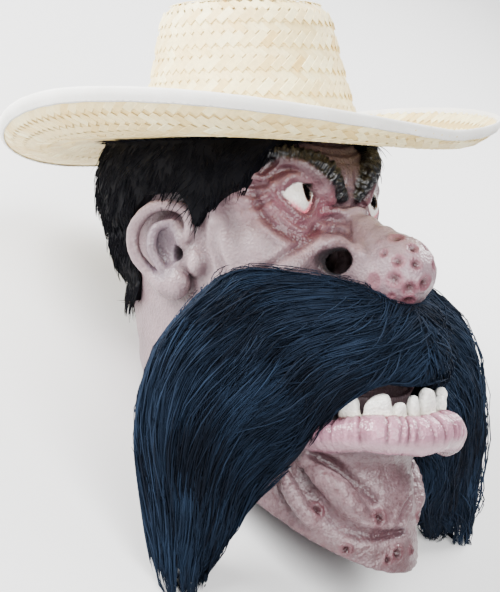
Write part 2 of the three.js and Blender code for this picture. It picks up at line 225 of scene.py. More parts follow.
def smooth_line(points, radii, steps):
    """Catmull-Rom points and radii through a few stations of (side, forward, up)."""
    stations = np.array([(s, -f, u) for s, f, u in points], float)
    padded = np.concatenate([2 * stations[:1] - stations[1:2], stations, 2 * stations[-1:] - stations[-2:-1]])
    place = np.linspace(0, len(stations) - 1, steps + 1)
    i = np.minimum(place.astype(int), len(stations) - 2)
    t = (place - i)[:, None]
    a, b, c, d = (padded[i + k] for k in range(4))
    line = 0.5 * (2 * b + (c - a) * t + (2 * a - 5 * b + 4 * c - d) * t**2 + (3 * b - a - 3 * c + d) * t**3)
    return line, np.interp(place, np.arange(len(radii)) * (len(stations) - 1) / (len(radii) - 1), radii)


def to_line(points, line, radii):
    """Distance to a rope's skin, and how far along it the nearest place is, from 0 to 1."""
    x, y, z = points
    best = np.full(x.shape, 1e3)
    along = np.zeros(x.shape)
    for k in range(len(line) - 1):
        a, b = line[k], line[k + 1]
        ab = b - a
        t = np.clip(((x - a[0]) * ab[0] + (y - a[1]) * ab[1] + (z - a[2]) * ab[2]) / (ab @ ab), 0, 1)
        gap = np.sqrt((x - a[0] - t * ab[0]) ** 2 + (y - a[1] - t * ab[1]) ** 2 + (z - a[2] - t * ab[2]) ** 2)
        gap = gap - (radii[k] + (radii[k + 1] - radii[k]) * t)
        closer = gap < best
        best = np.where(closer, gap, best)
        along = np.where(closer, (k + t) / (len(line) - 1), along)
    return best, along


def blend(low, high, margin, shape, soft, cut=False):
    """Joins a shape to the field, or cuts it out, in the part of the grid round its box."""
    part = near(low, high, margin)
    gap = shape((gx[part], gy[part], gz[part]))
    field[part] = -union(-field[part], gap, soft) if cut else union(field[part], gap, soft)


def add_egg(centre, radii, soft, turn=0.0, cut=False):
    middle = np.array([centre[0], -centre[1], centre[2]])
    reach = max(radii) if turn else np.array(radii)
    blend(middle - reach, middle + reach, soft + 6, lambda at: egg(at, centre, radii, turn), soft, cut)


def add_line(line, widths, reach, margin, soft, cut=False):
    blend(line.min(0) - reach, line.max(0) + reach, margin, lambda at: to_line(at, line, widths)[0], soft, cut)


def add_rope(points, radii, soft, steps=10):
    add_line(*smooth_line(points, radii, steps), max(radii), soft + 6, soft)


# Skull
boxy = 2.7
px, py, pz = np.abs(gx) / 92, np.abs(gy - 6) / 108, np.abs(gz - 72) / 82
total = np.maximum((px**boxy + py**boxy + pz**boxy) ** (1 / boxy), 0.01)
slope = total ** (1 - boxy) * np.sqrt(
    (px ** (boxy - 1) / 92) ** 2 + (py ** (boxy - 1) / 108) ** 2 + (pz ** (boxy - 1) / 82) ** 2
)
field = ((total - 1) / np.maximum(slope, 1e-6)).astype(np.float32)
# Jaw and neck: height, middle, half length and half width
jaw = np.array(
    [(-262, 42, 122, 79), (-166, 37, 124, 81), (-110, 28, 122, 82),
     (-58, 15, 117, 83), (0, 0, 108, 86), (50, 0, 103, 86)],
    float,
)  # fmt: skip
middle, half_length, half_width = (np.interp(gz, jaw[:, 0], jaw[:, k]) for k in (1, 2, 3))
px, py = gx / half_width, (gy + middle) / half_length
reach = np.sqrt(px**2 + py**2)
jaw_gap = reach * (reach - 1) / np.maximum(np.sqrt((px / half_width) ** 2 + (py / half_length) ** 2), 1e-6)
jaw_gap = np.maximum(jaw_gap, gz - 50)
field = union(field, jaw_gap.astype(np.float32), 14)
# Forehead, middle of the face, muzzle, nose and the shelf that carries the lip
add_egg((0, 64, 98), (66, 42, 32), 14)
add_egg((0, 58, 36), (82, 50, 50), 14)
add_egg((0, 84, -52), (80, 72, 60), 16)
add_egg((0, 116, 36), (27, 34, 24), 10)
add_egg((0, 120, -111), (58, 56, 15), 18)
add_rope([(0, 84, 70), (0, 108, 59), (0, 132, 45), (0, 152, 31)], [16, 17, 20, 24], 10)
add_egg(NOSE_BULB, [BULB_RADIUS] * 3, 8)


def both_sides(points, side):
    return [(side * s, f, u) for s, f, u in points]


# Cheek, the wing round each nostril, the fold beside the nose, and the jowl's rolls under the lip
rolls = [
    ([(42, 100, 31), (37, 104, 45), (25, 114, 50), (27, 136, 41), (22, 147, 24)], [4, 6, 6, 6, 4], 5),
    ([(46, 99, 38), (59, 94, 30), (70, 82, 20), (76, 66, 8)], [6, 8, 7, 4], 5),
    ([(64, 111, -126), (58, 123, -137), (51, 133, -147), (43, 143, -162), (30, 150, -174)], [6, 10, 11.5, 10, 5], 3),
    ([(75, 95, -130), (73, 103, -148), (66, 114, -168), (54, 124, -182)], [4, 7, 7, 4], 3),
    ([(64, 103, -182), (48, 128, -192), (24, 146, -197), (0, 149, -198)], [5, 7, 8, 8], 5),
    ([(79, 60, -60), (76, 76, -110), (68, 88, -160)], [6, 7, 5], 8),
    ([(60, 82, 116), (46, 94, 112), (30, 104, 98), (24, 106, 84)], [5, 7, 6, 4], 5),
    ([(30, 96, 72), (16, 106, 73), (0, 111, 71)], [4, 5, 5], 4),
]
for side in (-1, 1):
    add_egg((side * 25, 118, 31), (16, 23, 17), 5)
    add_rope(both_sides([(19, 126, 26), (13, 140, 20), (5, 152, 18)], side), [13, 19, 23], 7)
    add_egg((side * 62, 62, 44), (22, 24, 20), 14)
    for points, radii, soft in rolls:
        held_in = 0.72 if side > 0 and points[0][2] < -100 else 1
        add_rope(both_sides(points, side), [r * held_in for r in radii], soft)
add_egg((0, 145, -151), (24, 15, 14), 6)
# Deep creases are cut between the rolls; the fine ones are pressed into the mesh further down
deep_creases = [
    ([(60, 119, -120), (51, 129, -128), (44, 138, -137), (36, 146, -145), (26, 152, -156)], [3, 3.6, 3.4, 3, 2]),
    ([(65, 109, -134), (62, 116, -147), (58, 124, -160), (51, 134, -174), (39, 147, -183), (20, 156, -185),
      (0, 158, -184)], [2, 3, 3.4, 3.6, 3.6, 3, 2]),
    ([(76, 96, -140), (70, 106, -154), (64, 113, -170)], [1, 2.5, 1]),
]  # fmt: skip
soft_folds = [
    ([(76, 66, 94), (71, 74, 98), (64, 82, 105), (55, 88, 109), (44, 96, 106), (33, 102, 97)], [1, 1]),
    ([(76, 68, 90), (75, 72, 78), (70, 82, 64), (60, 92, 54), (48, 97, 51), (36, 101, 60)], [1, 1]),
    ([(38, 99, 54), (50, 96, 48), (62, 90, 40), (72, 82, 31), (80, 66, 24)], [1, 1]),
    ([(72, 73, 106), (64, 80, 114), (54, 88, 117)], [1, 1]),
]  # fmt: skip
fine_creases = [
    ([(82, 56, 90), (77, 66, 87), (71, 75, 90)], [1, 2, 2]),
    ([(80, 60, 76), (74, 72, 80), (70, 80, 84)], [1, 1.6, 1.4]),
    ([(82, 54, 99), (76, 68, 96), (71, 76, 95)], [1, 1.6, 1.6]),
    ([(33, 100, 66), (20, 107, 69), (15, 114, 65), (18, 122, 57)], [1.2, 2, 2, 1]),
    ([(34, 99, 57), (19, 112, 57), (24, 124, 53), (29, 136, 45)], [1.2, 2, 2, 1]),
    ([(22, 101, 79), (10, 108, 79), (0, 109, 78)], [1.2, 2, 2]),
    ([(9, 106, 122), (8, 109, 104), (7, 109, 92)], [1, 2, 1]),
    ([(20, 106, 124), (18, 109, 110), (15, 109, 98)], [1, 1.8, 1]),
    ([(69, 83, 79), (61, 94, 67), (47, 99, 61), (33, 103, 67)], [1, 1.8, 1.8, 1]),
    ([(70, 82, 74), (61, 92, 61), (47, 97, 56), (36, 101, 62)], [1, 1.4, 1.4, 1]),
    ([(57, 84, 116), (46, 95, 112), (36, 101, 103)], [1, 1.8, 1]),
    ([(72, 92, -120), (72, 90, -140), (68, 96, -165)], [1, 2, 1.5]),
    ([(50, 112, 20), (60, 106, 4), (66, 96, -10)], [1, 2, 1]),
]  # fmt: skip
deep_lines, fold_lines, fine_lines = [], [], []
for side in (-1, 1):
    for points, radii in deep_creases:
        kept = points if side < 0 or len(points) < 5 else points[: len(points) - 2]
        deep_lines.append(smooth_line(both_sides(kept, side), radii, 12))
    fold_lines += [smooth_line(both_sides(points, side), radii, 14) for points, radii in soft_folds]
    fine_lines += [smooth_line(both_sides(points, side), radii, 10) for points, radii in fine_creases]
fine_lines.append(smooth_line([(15, 159, -158), (1, 162, -169), (-8, 161, -182)], [1, 2.6, 1.5], 8))
for line, widths in deep_lines:
    add_line(line, widths, 4, 8, 6, cut=True)
# Lip: a fat roll round the front
lip_turns = np.radians(np.linspace(-104, 104, 27))
lip_taper = 0.45 + 0.55 * np.sqrt(np.cos(lip_turns / math.radians(104) * math.pi / 2) + 0.02)
lip_heights = -103 + 1.6 * np.sin(lip_turns * 5) - 6 * np.exp(-((lip_turns - 0.75) / 0.3) ** 2)
lip_line = np.stack(
    [LIP_ROUND * np.sin(lip_turns), -(LIP_MIDDLE + LIP_ROUND * np.cos(lip_turns)), lip_heights], 1
)
add_line(lip_line, LIP_RADIUS * lip_taper, 17, 12, 7)
# Teeth: turn from the front, width, height and lean
teeth = [
    (-70, 18, 25, 0.3), (-47, 25, 20, -0.25), (-29, 13, 14, 0.1), (-17, 10, 19, -0.1),
    (-1, 19, 24, 0.15), (24, 15, 17, -0.2), (45, 19, 22, 0.1), (66, 14, 18, -0.1),
]  # fmt: skip


def tooth_gap(points, turn, width, height, lean):
    """Distance to a rounded stub standing on the lip, leaning a little outwards."""
    x, y, z = points
    a = math.radians(turn)
    foot = (TEETH_ROUND * math.sin(a), -(LIP_MIDDLE + TEETH_ROUND * math.cos(a)), -91 + height / 2 - 6)
    dx, dy, dz = x - foot[0], y - foot[1], z - foot[2]
    across = dx * math.cos(a) + dy * math.sin(a)
    out = dx * math.sin(a) - dy * math.cos(a) - 0.12 * dz
    px = np.abs(across) / (width / 2 - 0.5) * np.clip(1 + 0.012 * dz, 0.5, 2)
    py = np.abs(out) / 5.5
    pz = np.abs(dz + lean * across) / (height / 2 + 6)
    return ((px**3.4 + py**3.4 + pz**3.4) ** (1 / 3.4) - 1) * 6


for tooth in teeth:
    a = math.radians(tooth[0])
    foot = np.array([TEETH_ROUND * math.sin(a), -(LIP_MIDDLE + TEETH_ROUND * math.cos(a)), -91 + tooth[2] / 2])
    blend(foot - 20, foot + 20, 4, lambda at: tooth_gap(at, *tooth), 0.8)

# Eyes, lids, bags and brows
EYES = {-1: (-45, 79, 84), 1: (45, 79, 78)}
brow_lines = {}
lid_lines = []
for side, (ex, ef, eu) in EYES.items():
    add_egg((ex, ef + 13, eu + 1), (15.5, 12, 13.5), 3, cut=True)
    add_egg((ex, ef + 1, eu + 1), [EYE_BALL] * 3, 0.6)
    corners = (62, 83, 4), (34, 98, 5)
    for rim, sizes in (
        ([corners[0], (57, 88, 10.5), (49, 92, 13.5), (41, 96, 12), corners[1]], [2.5, 4.2, 5, 4.4, 2.6]),
        ([corners[0], (56, 89, -3), (47, 95, -11.5), (39, 98, -8), corners[1]], [2.5, 3.4, 3.8, 3.4, 2.6]),
    ):
        lid = []
        for (rs, rf, ru), size in zip(rim, sizes):
            away = np.array([rs - 47, ru - 2]) / math.hypot(rs - 47, ru - 2)
            lid.append((side * (rs + size * away[0]), rf + ef - 80, eu + ru + size * away[1]))
        add_rope(lid, sizes, 1.6, steps=14)
        lid_lines.append(smooth_line(lid, sizes, 14))
    for drop, reach, size in ((21, 10, 4.5), (27, 9, 4)):
        bag = [(74, ef - 12, eu - drop * 0.35), (63, ef + reach - 7, eu - drop * 0.85),
               (46, ef + reach + 1, eu - drop), (30, ef + reach + 1, eu - drop * 0.7)]  # fmt: skip
        add_rope(both_sides(bag, side), [3, size, size + 1, 3], 2.5)
    brow = [(side * 66, 72, 122), (side * 44, 92, 118), (side * 26, 104, 106), (side * 11, 105, 88)]
    brow_lines[side] = smooth_line(brow, [6.5, 8.5, 9, 6], 24)
    add_rope(brow, [6.5, 8.5, 9, 6], 2.5, steps=16)


# Ears: a dish, a rolled helix, an inner ridge, a tragus and a fat lobe
def ear_place(side, forward, up):
    out = np.clip((24 - forward) / 62, 0, 1)
    return (side * (93 + 17 * out**2 * (3 - 2 * out) * (1 if up > 23.5 else 0.6)), forward, up)


helix = [(3, 45), (15, 58.6), (10, 75.8), (-13, 78.9), (-31.2, 62.5), (-31.8, 41), (-21, 23.5), (-10, 15)]
inner_ridge = [(0, 66), (-13, 61), (-17, 44), (-8, 27)]
for side in (-1, 1):
    add_egg((side * 90, -9, 43), (12, 22.3, 31.2), 6, turn=side * 15)
    add_rope([ear_place(side, *at) for at in helix], [3, 4.5, 5, 5, 5.5, 5, 5.5, 8.5], 2.5, steps=20)
    add_egg((side * 108, -6, 44), (13, 14, 22), 3, turn=side * 15, cut=True)
    add_rope([ear_place(side, *at) for at in inner_ridge], [3, 4, 4.5, 4], 3)
    add_egg((side * 90, 19, 33), (8, 8, 11), 6)
    add_egg((side * 97, 4, 40), (14, 6, 6.5), 3, cut=True)
    add_egg(ear_place(side, 0, 15), (10, 15, 13), 5)

solid_field = field.copy()
# Pupils, nostrils and the mouth go through; their floors are taken out below
holes = []
pupil_at = {}
for side, (ex, ef, eu) in EYES.items():
    pupil_at[side] = (ex + (1.5 if side > 0 else 3.4), ef + 14, eu + 6.5)
    holes += [(pupil_at[side], PUPIL, 0), ((side * 37, 120, 34), NOSTRIL, side * NOSTRIL_TURN)]
holes.append(((0, 139, -70), (45, 38, 6), 0))
for centre, radii, turn in holes:
    add_egg(centre, radii, 3.5 if 8 < radii[2] else 1.0, turn=turn, cut=True)

volume = openvdb.FloatGrid()
volume.copyFromArray(field.astype(np.float32))
points, triangles, quads = volume.convertToPolygons(isovalue=0.0, adaptivity=0.0)
points = np.asarray(points, float) * CELL + grid_low
skin_faces = [list(map(int, face)) for face in [*quads, *triangles]]


def field_at(points, values):
    """A value of the grid at any points, blended from the eight cells round each."""
    place = np.clip((points - grid_low) / CELL, 0, np.array(values.shape) - 1.001)
    i = place.astype(int)
    t = place - i
    total = 0
    for corner in np.ndindex(2, 2, 2):
        weight = np.prod(np.where(corner, t, 1 - t), axis=1)
        total = total + weight * values[i[:, 0] + corner[0], i[:, 1] + corner[1], i[:, 2] + corner[2]]
    return total


def outward(points, values):
    slope = np.stack(
        [field_at(points + step, values) - field_at(points - step, values) for step in np.eye(3) * 1.5], 1
    )
    return slope / np.maximum(np.linalg.norm(slope, axis=1, keepdims=True), 1e-6)


def bump(value, width):
    return np.exp(-((value / width) ** 2))


def ramp(value, low, high):
    share = np.clip((value - low) / (high - low), 0, 1)
    return share * share * (3 - 2 * share)


def wobble(points, scale, seed):
    """A smooth wandering value from -1 to 1."""
    rng = np.random.default_rng(seed)
    total = 0
    for _ in range(6):
        way = rng.normal(size=3)
        way /= np.linalg.norm(way)
        total = total + np.sin(points @ way * (2 * math.pi / scale) * rng.uniform(0.7, 1.5) + rng.uniform(0, 6.28))
    return total / 3.2


skin_x, skin_y, skin_z = cloud = points.T
skin_f = -skin_y
side_x = np.abs(skin_x)
normals = outward(points, field)
relief = 0.25 * wobble(points, 34, 1) + 0.12 * wobble(points, 12, 2)
paint = np.tile(np.array(colour(138, 117, 122)[:3]), (len(points), 1))
gloss = np.full(len(points), 0.38)
speckle = np.full(len(points), 0.15)
eyeball = np.zeros(len(points))
cavity_shade = np.zeros(len(points))
# Painted shade in concave places, found from how near the solid lies round each point; it also stands for the mask's
# dark wash there
for near_by, thick, share in ((4.5, 2.6, 1), (10, 9, 0.8)):
    open_air = field_at(points + near_by * normals, solid_field)
    cavity_shade = np.maximum(cavity_shade, np.clip((near_by - open_air) / thick, 0, 1) * share)


def cover(weight, shade, rough=None):
    """Paints a colour, and its roughness, over the points that have weight: the mask's own airbrushing, and painted
    shade and painted highlights too.
    """
    global paint, gloss
    weight = np.clip(weight, 0, 1)
    paint = paint * (1 - weight[:, None]) + np.array(colour(*shade)[:3]) * weight[:, None]
    if rough is not None:
        gloss = gloss * (1 - weight) + rough * weight


def nearest(lines_and_widths):
    return np.min([to_line(cloud, line, widths)[0] for line, widths in lines_and_widths], axis=0)


# Broad airbrushing: the neck greyer, temples and the eyes' surroundings pinker. Also painted shade: the upper face
# darker as a painted shadow of the hat's brim, and the forehead darker still, mostly painted shade with some brown
# airbrush
cover(0.5 * ramp(-skin_z, 0, 120), (122, 105, 110))
# painted shadow of the hat's brim over the upper face
cover(0.45 * ramp(skin_z, 44, 92) * ramp(skin_f, 40, 70), (112, 86, 90))
cover(0.6 * bump(skin_f - 60, 24) * bump(skin_z - 92, 24) * ramp(side_x, 45, 75), (146, 98, 106))
# painted shade on the forehead under the brim, with some brown airbrush
cover(0.75 * ramp(skin_z, 86, 112) * ramp(skin_f, 60, 84), (54, 38, 40))
chin = ramp(-skin_z, 116, 128) * ramp(skin_f, 50, 90)
speckle += 0.85 * chin
cover(0.75 * chin, (120, 93, 97))
cover(0.6 * chin * ramp(-skin_z, 176, 192), (98, 78, 80))
# Soft folds down each cheek in front of the ear: painted shade in each fold and a painted highlight on the rise beside
# it
for side in (-1, 1):
    for points_of, wide, dark in (
        ([(86, 45, 82), (85, 50, 66), (82, 56, 52), (78, 60, 36)], 7, 0.75),
        ([(88, 24, 66), (88, 27, 48), (86, 24, 28)], 5, 0.5),
        ([(88, 38, 60), (87, 38, 44), (84, 44, 28)], 3, 0.35),
    ):
        gap, _ = to_line(cloud, *smooth_line(both_sides(points_of, side), [1, 1], 8))
        relief += -1.6 * bump(gap, wide) + 0.9 * bump(gap - wide * 2, wide)
        cover(dark * bump(gap, wide), (92, 72, 77), 0.34)
        cover(0.3 * bump(gap - wide * 2.2, wide * 0.8), (186, 166, 170), 0.28)
# painted shade in the hollows
cover(0.85 * cavity_shade**1.2, (66, 44, 50))
for side, (ex, ef, eu) in EYES.items():
    from_eye = np.sqrt((skin_x - ex - side * 3) ** 2 + ((skin_z - eu + 2) * 0.82) ** 2)
    facing = ramp(skin_f, 50, 72)
    cover(0.88 * (1 - ramp(from_eye, 22, 42)) * facing, (104, 60, 71), 0.3)
    cover(0.6 * (1 - ramp(np.abs(from_eye - 19), 2, 9)) * ramp(eu - skin_z, -6, 6) * facing, (122, 62, 76))
    # deeper painted shade in the eye's hollow
    cover(0.5 * cavity_shade * (1 - ramp(from_eye, 24, 38)) * facing, (78, 34, 44))
    # crow's feet and the fine creases of the bags, with painted shade in their valleys
    angle = np.arctan2(skin_z - eu, side * (skin_x - ex))
    feet = np.sin(angle * 16) * ramp(from_eye, 20, 26) * (1 - ramp(from_eye, 36, 48)) * ramp(np.cos(angle), 0.55, 0.85)
    relief += 0.4 * feet * facing
    bags = np.sin(from_eye * 1.15) * ramp(from_eye, 19, 22) * (1 - ramp(from_eye, 34, 42)) * ramp(-np.sin(angle), 0.2, 0.6)
    relief += 0.15 * bags * facing
    cover(0.5 * np.clip(-feet - bags, 0, 1) * facing, (84, 44, 54))
    # the ball of the eye, with a pink lower edge and a brown ring round the pupil
    ball = np.sqrt((skin_x - ex) ** 2 + (skin_f - ef - 1) ** 2 + (skin_z - eu - 1) ** 2) - EYE_BALL
    lid_gap = nearest(lid_lines)
    white = (1 - ramp(np.abs(ball), 0.9, 1.6)) * ramp(lid_gap, 0.1, 0.9) * facing
    cover(white, (246, 242, 238), 0.12)
    # the pupil's tunnel joins the ball's mask, so the pupil's black covers its walls: painted shade for the dark inside
    # of the mask
    tunnel = egg(cloud, pupil_at[side], PUPIL) < 1.2
    eyeball = np.maximum(np.maximum(eyeball, white), tunnel & (field_at(points, solid_field) < -0.5))
    cover(white * (1 - ramp(lid_gap, 0.8, 4.5)) * ramp(eu - skin_z, -3, 5), (222, 104, 126), 0.2)
    relief *= 1 - white
    speckle *= 1 - white

# Folds across the root of the nose and between the brows, with painted shade in their valleys
root = bump(skin_x, 18) * ramp(skin_f, 84, 96) * ramp(skin_z, 52, 62) * (1 - ramp(skin_z, 92, 104))
root_folds = np.sin(skin_z * 0.75 + 0.02 * skin_x**2)
relief += 1.1 * root * root_folds
cover(0.4 * root * np.clip(-root_folds, 0, 1), (120, 92, 98))
forehead = ramp(skin_z, 108, 116) * ramp(skin_f, 70, 86) * (1 - ramp(side_x, 40, 60))
relief += 0.8 * forehead * np.sin(skin_z * 0.8 + 2 * np.cos(skin_x * 0.06))

# Nose: mauve and shiny, with round red pits over the bulb
from_bulb = np.sqrt(skin_x**2 + (skin_f - NOSE_BULB[1]) ** 2 + (skin_z - NOSE_BULB[2]) ** 2) - BULB_RADIUS
cover(0.6 * (1 - ramp(np.abs(from_bulb), 2, 9)), (152, 128, 137), 0.3)
cover(0.5 * bump(skin_x, 20) * ramp(skin_f, 104, 118) * ramp(skin_z, 26, 40), (178, 154, 160), 0.26)
cover(0.6 * ramp(skin_f, 118, 140) * ramp(24 - skin_z, 0, 20) * ramp(skin_z, -16, 0), (112, 86, 92))
pits = []
rng = np.random.default_rng(11)
while len(pits) < 34:
    way = rng.normal(size=3)
    way /= np.linalg.norm(way)
    if -way[1] > -0.35 and all(np.dot(way, other) < 0.88 for other in pits):
        pits.append(way)
    # a bulb that is full takes no more, so the tries also end by chance
    if rng.uniform() < 1e-4:
        break
for k, way in enumerate(pits):
    centre = np.array([0, -NOSE_BULB[1], NOSE_BULB[2]]) + BULB_RADIUS * way
    gap = np.linalg.norm(points - centre, axis=1)
    size = 3.5 + 1.1 * math.sin(k * 2.1)
    relief += -3.2 * bump(gap, size * 0.9) + 0.9 * bump(gap - size * 1.6, size * 0.5)
    cover(0.6 * bump(gap - size * 1.2, size * 0.6), (142, 72, 88))
    cover(bump(gap, size), (58, 18, 24), 0.25)
for side in (-1, 1):
    nostril = egg(cloud, (side * 37, 120, 34), NOSTRIL, side * NOSTRIL_TURN)
    # Round each nostril: a painted highlight on the rim above, painted shade darkening towards the hole, and the hole's
    # walls painted black as painted shade
    cover(0.5 * bump(nostril - 8, 3) * ramp(skin_z, 36, 44), (192, 166, 172), 0.25)
    cover(0.6 * (1 - ramp(nostril, 0.5, 6)), (84, 60, 68))
    cover((1 - ramp(nostril, -0.5, 3.2)), (22, 17, 22), 0.9)

# Painted shade lies in the creases, with a painted highlight on the rise beside each
fold_gap, deep_gap, fine_gap = nearest(fold_lines), nearest(deep_lines), nearest(fine_lines)
relief += -2.6 * bump(fold_gap, 2.6) + 1.0 * bump(fold_gap - 6.5, 2.6)
cover(0.7 * bump(fold_gap, 3), (74, 36, 45), 0.32)
cover(0.25 * bump(fold_gap - 6.5, 2.4), (188, 160, 164), 0.28)
pressed = 1 - ramp(fine_gap, -0.4, 2.6)
relief += -2.2 * pressed + 0.7 * bump(fine_gap - 4.5, 1.8)
cover(0.75 * (1 - ramp(deep_gap, 0, 2.6)), (74, 44, 52), 0.34)
cover(0.6 * pressed, (94, 62, 70), 0.34)
cover(0.3 * bump(deep_gap - 5, 2.2), (190, 166, 170), 0.28)

# Brows: glossy black ropes, ridged across
for line, radii in brow_lines.values():
    gap, along = to_line(cloud, line, radii)
    on_brow = 1 - ramp(gap, 0.6, 2.4)
    ridges = np.sin(along * 2 * math.pi * 15 + 1.3 * np.sin(along * 23) + 0.15 * skin_f)
    relief += on_brow * (1.1 * ridges + 0.5 * wobble(points, 9, 9))
    cover(0.6 * (1 - ramp(gap, 2, 8)), (62, 44, 48))
    cover(on_brow, (6, 7, 12), 0.28)
    speckle *= 1 - on_brow

# Lip: pink, with grooves running over it, red at the teeth's feet
lip_gap, lip_along = to_line(cloud, lip_line, LIP_RADIUS * lip_taper)
on_lip = 1 - ramp(lip_gap, 1.5, 5)
rng = np.random.default_rng(5)
groove_turns = np.cumsum(rng.uniform(0.4, 1.9, 30))
groove_turns /= groove_turns[-1] + 0.5
groove_depths = rng.uniform(0.35, 1.25, 30)
lip_lean = lip_along + 0.00035 * (skin_z + 100) * np.sin(lip_along * 31)
grooves = np.max([d * bump((lip_lean - t) * 225, 1.5) for t, d in zip(groove_turns, groove_depths)], axis=0)
upper = ramp(skin_z, -114, -104)
valleys = grooves * (0.25 + 0.75 * upper)
relief += on_lip * (0.9 * upper - 2.3 * valleys + 0.35 * wobble(points, 14, 8))
cover(on_lip, (170, 124, 140), 0.24)
cover(on_lip * 0.9 * valleys, (92, 46, 60))
cover(0.7 * on_lip * (1 - upper) * ramp(skin_z, -119, -113), (178, 150, 156), 0.28)
cover(0.6 * on_lip * ramp(-skin_z, 116, 122), (106, 80, 86))
tooth_gaps = [tooth_gap(cloud, *tooth) for tooth in teeth]
for gap in tooth_gaps:
    cover((1 - ramp(gap, 0.8, 4.5)) * ramp(skin_z, -95, -88), (118, 52, 62), 0.3)
for k, gap in enumerate(tooth_gaps):
    on_tooth = (1 - ramp(gap, 0.3, 1.2)) * ramp(skin_z, -90, -86.5)
    cover(on_tooth, (252, 250, 244), 0.2)
    cover(0.4 * on_tooth * (1 - ramp(skin_z, -88, -80)), (206, 186, 150))
    relief = relief * (1 - on_tooth) + on_tooth * 0.35 * wobble(points, 9, 20 + k)

# Chin: open boils with red middles, and creases along the folds
boils = [(-60, 118, -165, 4.2), (-24, 155, -172, 4.6), (-8, 160, -200, 4.4), (10, 160, -201, 2.8), (-18, 158, -206, 3),
         (-46, 139, -196, 3.4), (52, 124, -160, 4.2), (30, 150, -176, 3.6), (60, 112, -178, 3.8)]  # fmt: skip
for bx, bf, bu, size in boils:
    heart = points[np.argmin(np.linalg.norm(points - [bx, -bf, bu], axis=1))]
    gap = np.linalg.norm(points - heart, axis=1)
    relief += 2.2 * bump(gap - size * 1.1, size * 0.5) - 3.2 * bump(gap, size * 0.75)
    cover(0.45 * bump(gap - size * 1.3, size * 0.6), (122, 60, 72))
    cover(bump(gap, size * 1.1), (58, 16, 26), 0.2)
relief += 0.5 * chin * wobble(points * [1, 1, 2.2], 12, 5)
cover(0.45 * chin * np.clip(wobble(points, 22, 6), 0, 1), (108, 84, 90))
neck = ramp(-skin_z, 20, 60) * (1 - ramp(skin_f, 40, 80))
relief += 0.8 * neck * np.sin((skin_z + 0.35 * skin_f) * 0.22 + wobble(points, 60, 7))

# Ears: a dark canal, cool shadow in the hollow
for side in (-1, 1):
    canal = np.sqrt((side_x - 92) ** 2 * 0.3 + (skin_f - 5) ** 2 + (skin_z - 39) ** 2) + 200 * (skin_x * side < 0)
    cover(1 - ramp(canal, 4, 10), (44, 40, 46), 0.6)
    bowl = egg(cloud, (side * 108, -6, 44), (15, 16, 25), side * 15)
    cover(0.5 * (1 - ramp(bowl, 0, 3)), (112, 100, 112))


def set_values(mesh, name, values, kind="FLOAT"):
    """Stores a number or a vector for every point of a mesh."""
    stored = mesh.attributes.new(name, kind, "POINT").data
    stored.foreach_set("value" if kind == "FLOAT" else "vector", np.asarray(values, np.float32).ravel())


mask_skin = mesh_object("mask_skin", points + normals * relief[:, None], skin_faces)
mesh = mask_skin.data
set_values(mesh, "paint", paint, "FLOAT_VECTOR")
for name, values in (("gloss", gloss), ("speckle", speckle), ("eyeball", eyeball)):
    set_values(mesh, name, values)
edit = bmesh.new()
edit.from_mesh(mesh)
# The neck's slanting cut, then the floors of the holes
NECK_SLANT = math.radians(32)
bmesh.ops.bisect_plane(
    edit, geom=edit.verts[:] + edit.edges[:] + edit.faces[:], dist=1e-4, clear_outer=True,
    plane_co=(0, 97, -55), plane_no=(0, math.sin(NECK_SLANT), -math.cos(NECK_SLANT)),
)  # fmt: skip
centres = np.array([face.calc_center_median()[:] for face in edit.faces])
inside = field_at(centres, solid_field)
floors = np.zeros(len(centres), bool)
for centre, radii, turn in holes:
    hit = egg(centres.T, centre, np.array(radii) + 1.2, turn) < 0
    floors |= hit & (inside < (-4.5 if radii[2] < 8 else -5.5))
bmesh.ops.delete(edit, geom=[f for f, gone in zip(edit.faces, floors) if gone], context="FACES")
edit.to_mesh(mesh)
edit.free()


def apply_modifiers(thing):
    """Leaves an object with the mesh that its modifiers make, and no modifiers."""
    graph = bpy.context.evaluated_depsgraph_get()
    made = bpy.data.meshes.new_from_object(thing.evaluated_get(graph))
    thing.modifiers.clear()
    old = thing.data
    thing.data = made
    bpy.data.meshes.remove(old)


thin = mask_skin.modifiers.new("thin", "DECIMATE")
thin.ratio = min(1.0, 90000 / (2 * len(mesh.polygons)))
walls = mask_skin.modifiers.new("walls", "SOLIDIFY")
walls.thickness = SKIN_WALL
walls.offset = -1
walls.material_offset = 1
apply_modifiers(mask_skin)
mesh = mask_skin.data
placed = np.zeros(len(mesh.vertices) * 3, np.float32)
mesh.vertices.foreach_get("co", placed)
placed = laid(placed.reshape(-1, 3))
placed[:, 2] = np.maximum(placed[:, 2], 0)
mesh.vertices.foreach_set("co", placed.astype(np.float32).ravel())
mesh.update()


def new_group(name, kind, inputs, output, output_kind):
    """A node group with named sockets, a function that adds its nodes, and its inputs to read."""
    group = bpy.data.node_groups.new(name, kind)
    for socket, socket_kind in inputs.items():
        group.interface.new_socket(socket, in_out="INPUT", socket_type="NodeSocket" + socket_kind)
    group.interface.new_socket(output, in_out="OUTPUT", socket_type="NodeSocket" + output_kind)
    add = node_maker(group)
    return group, add, add("NodeGroupInput").outputs


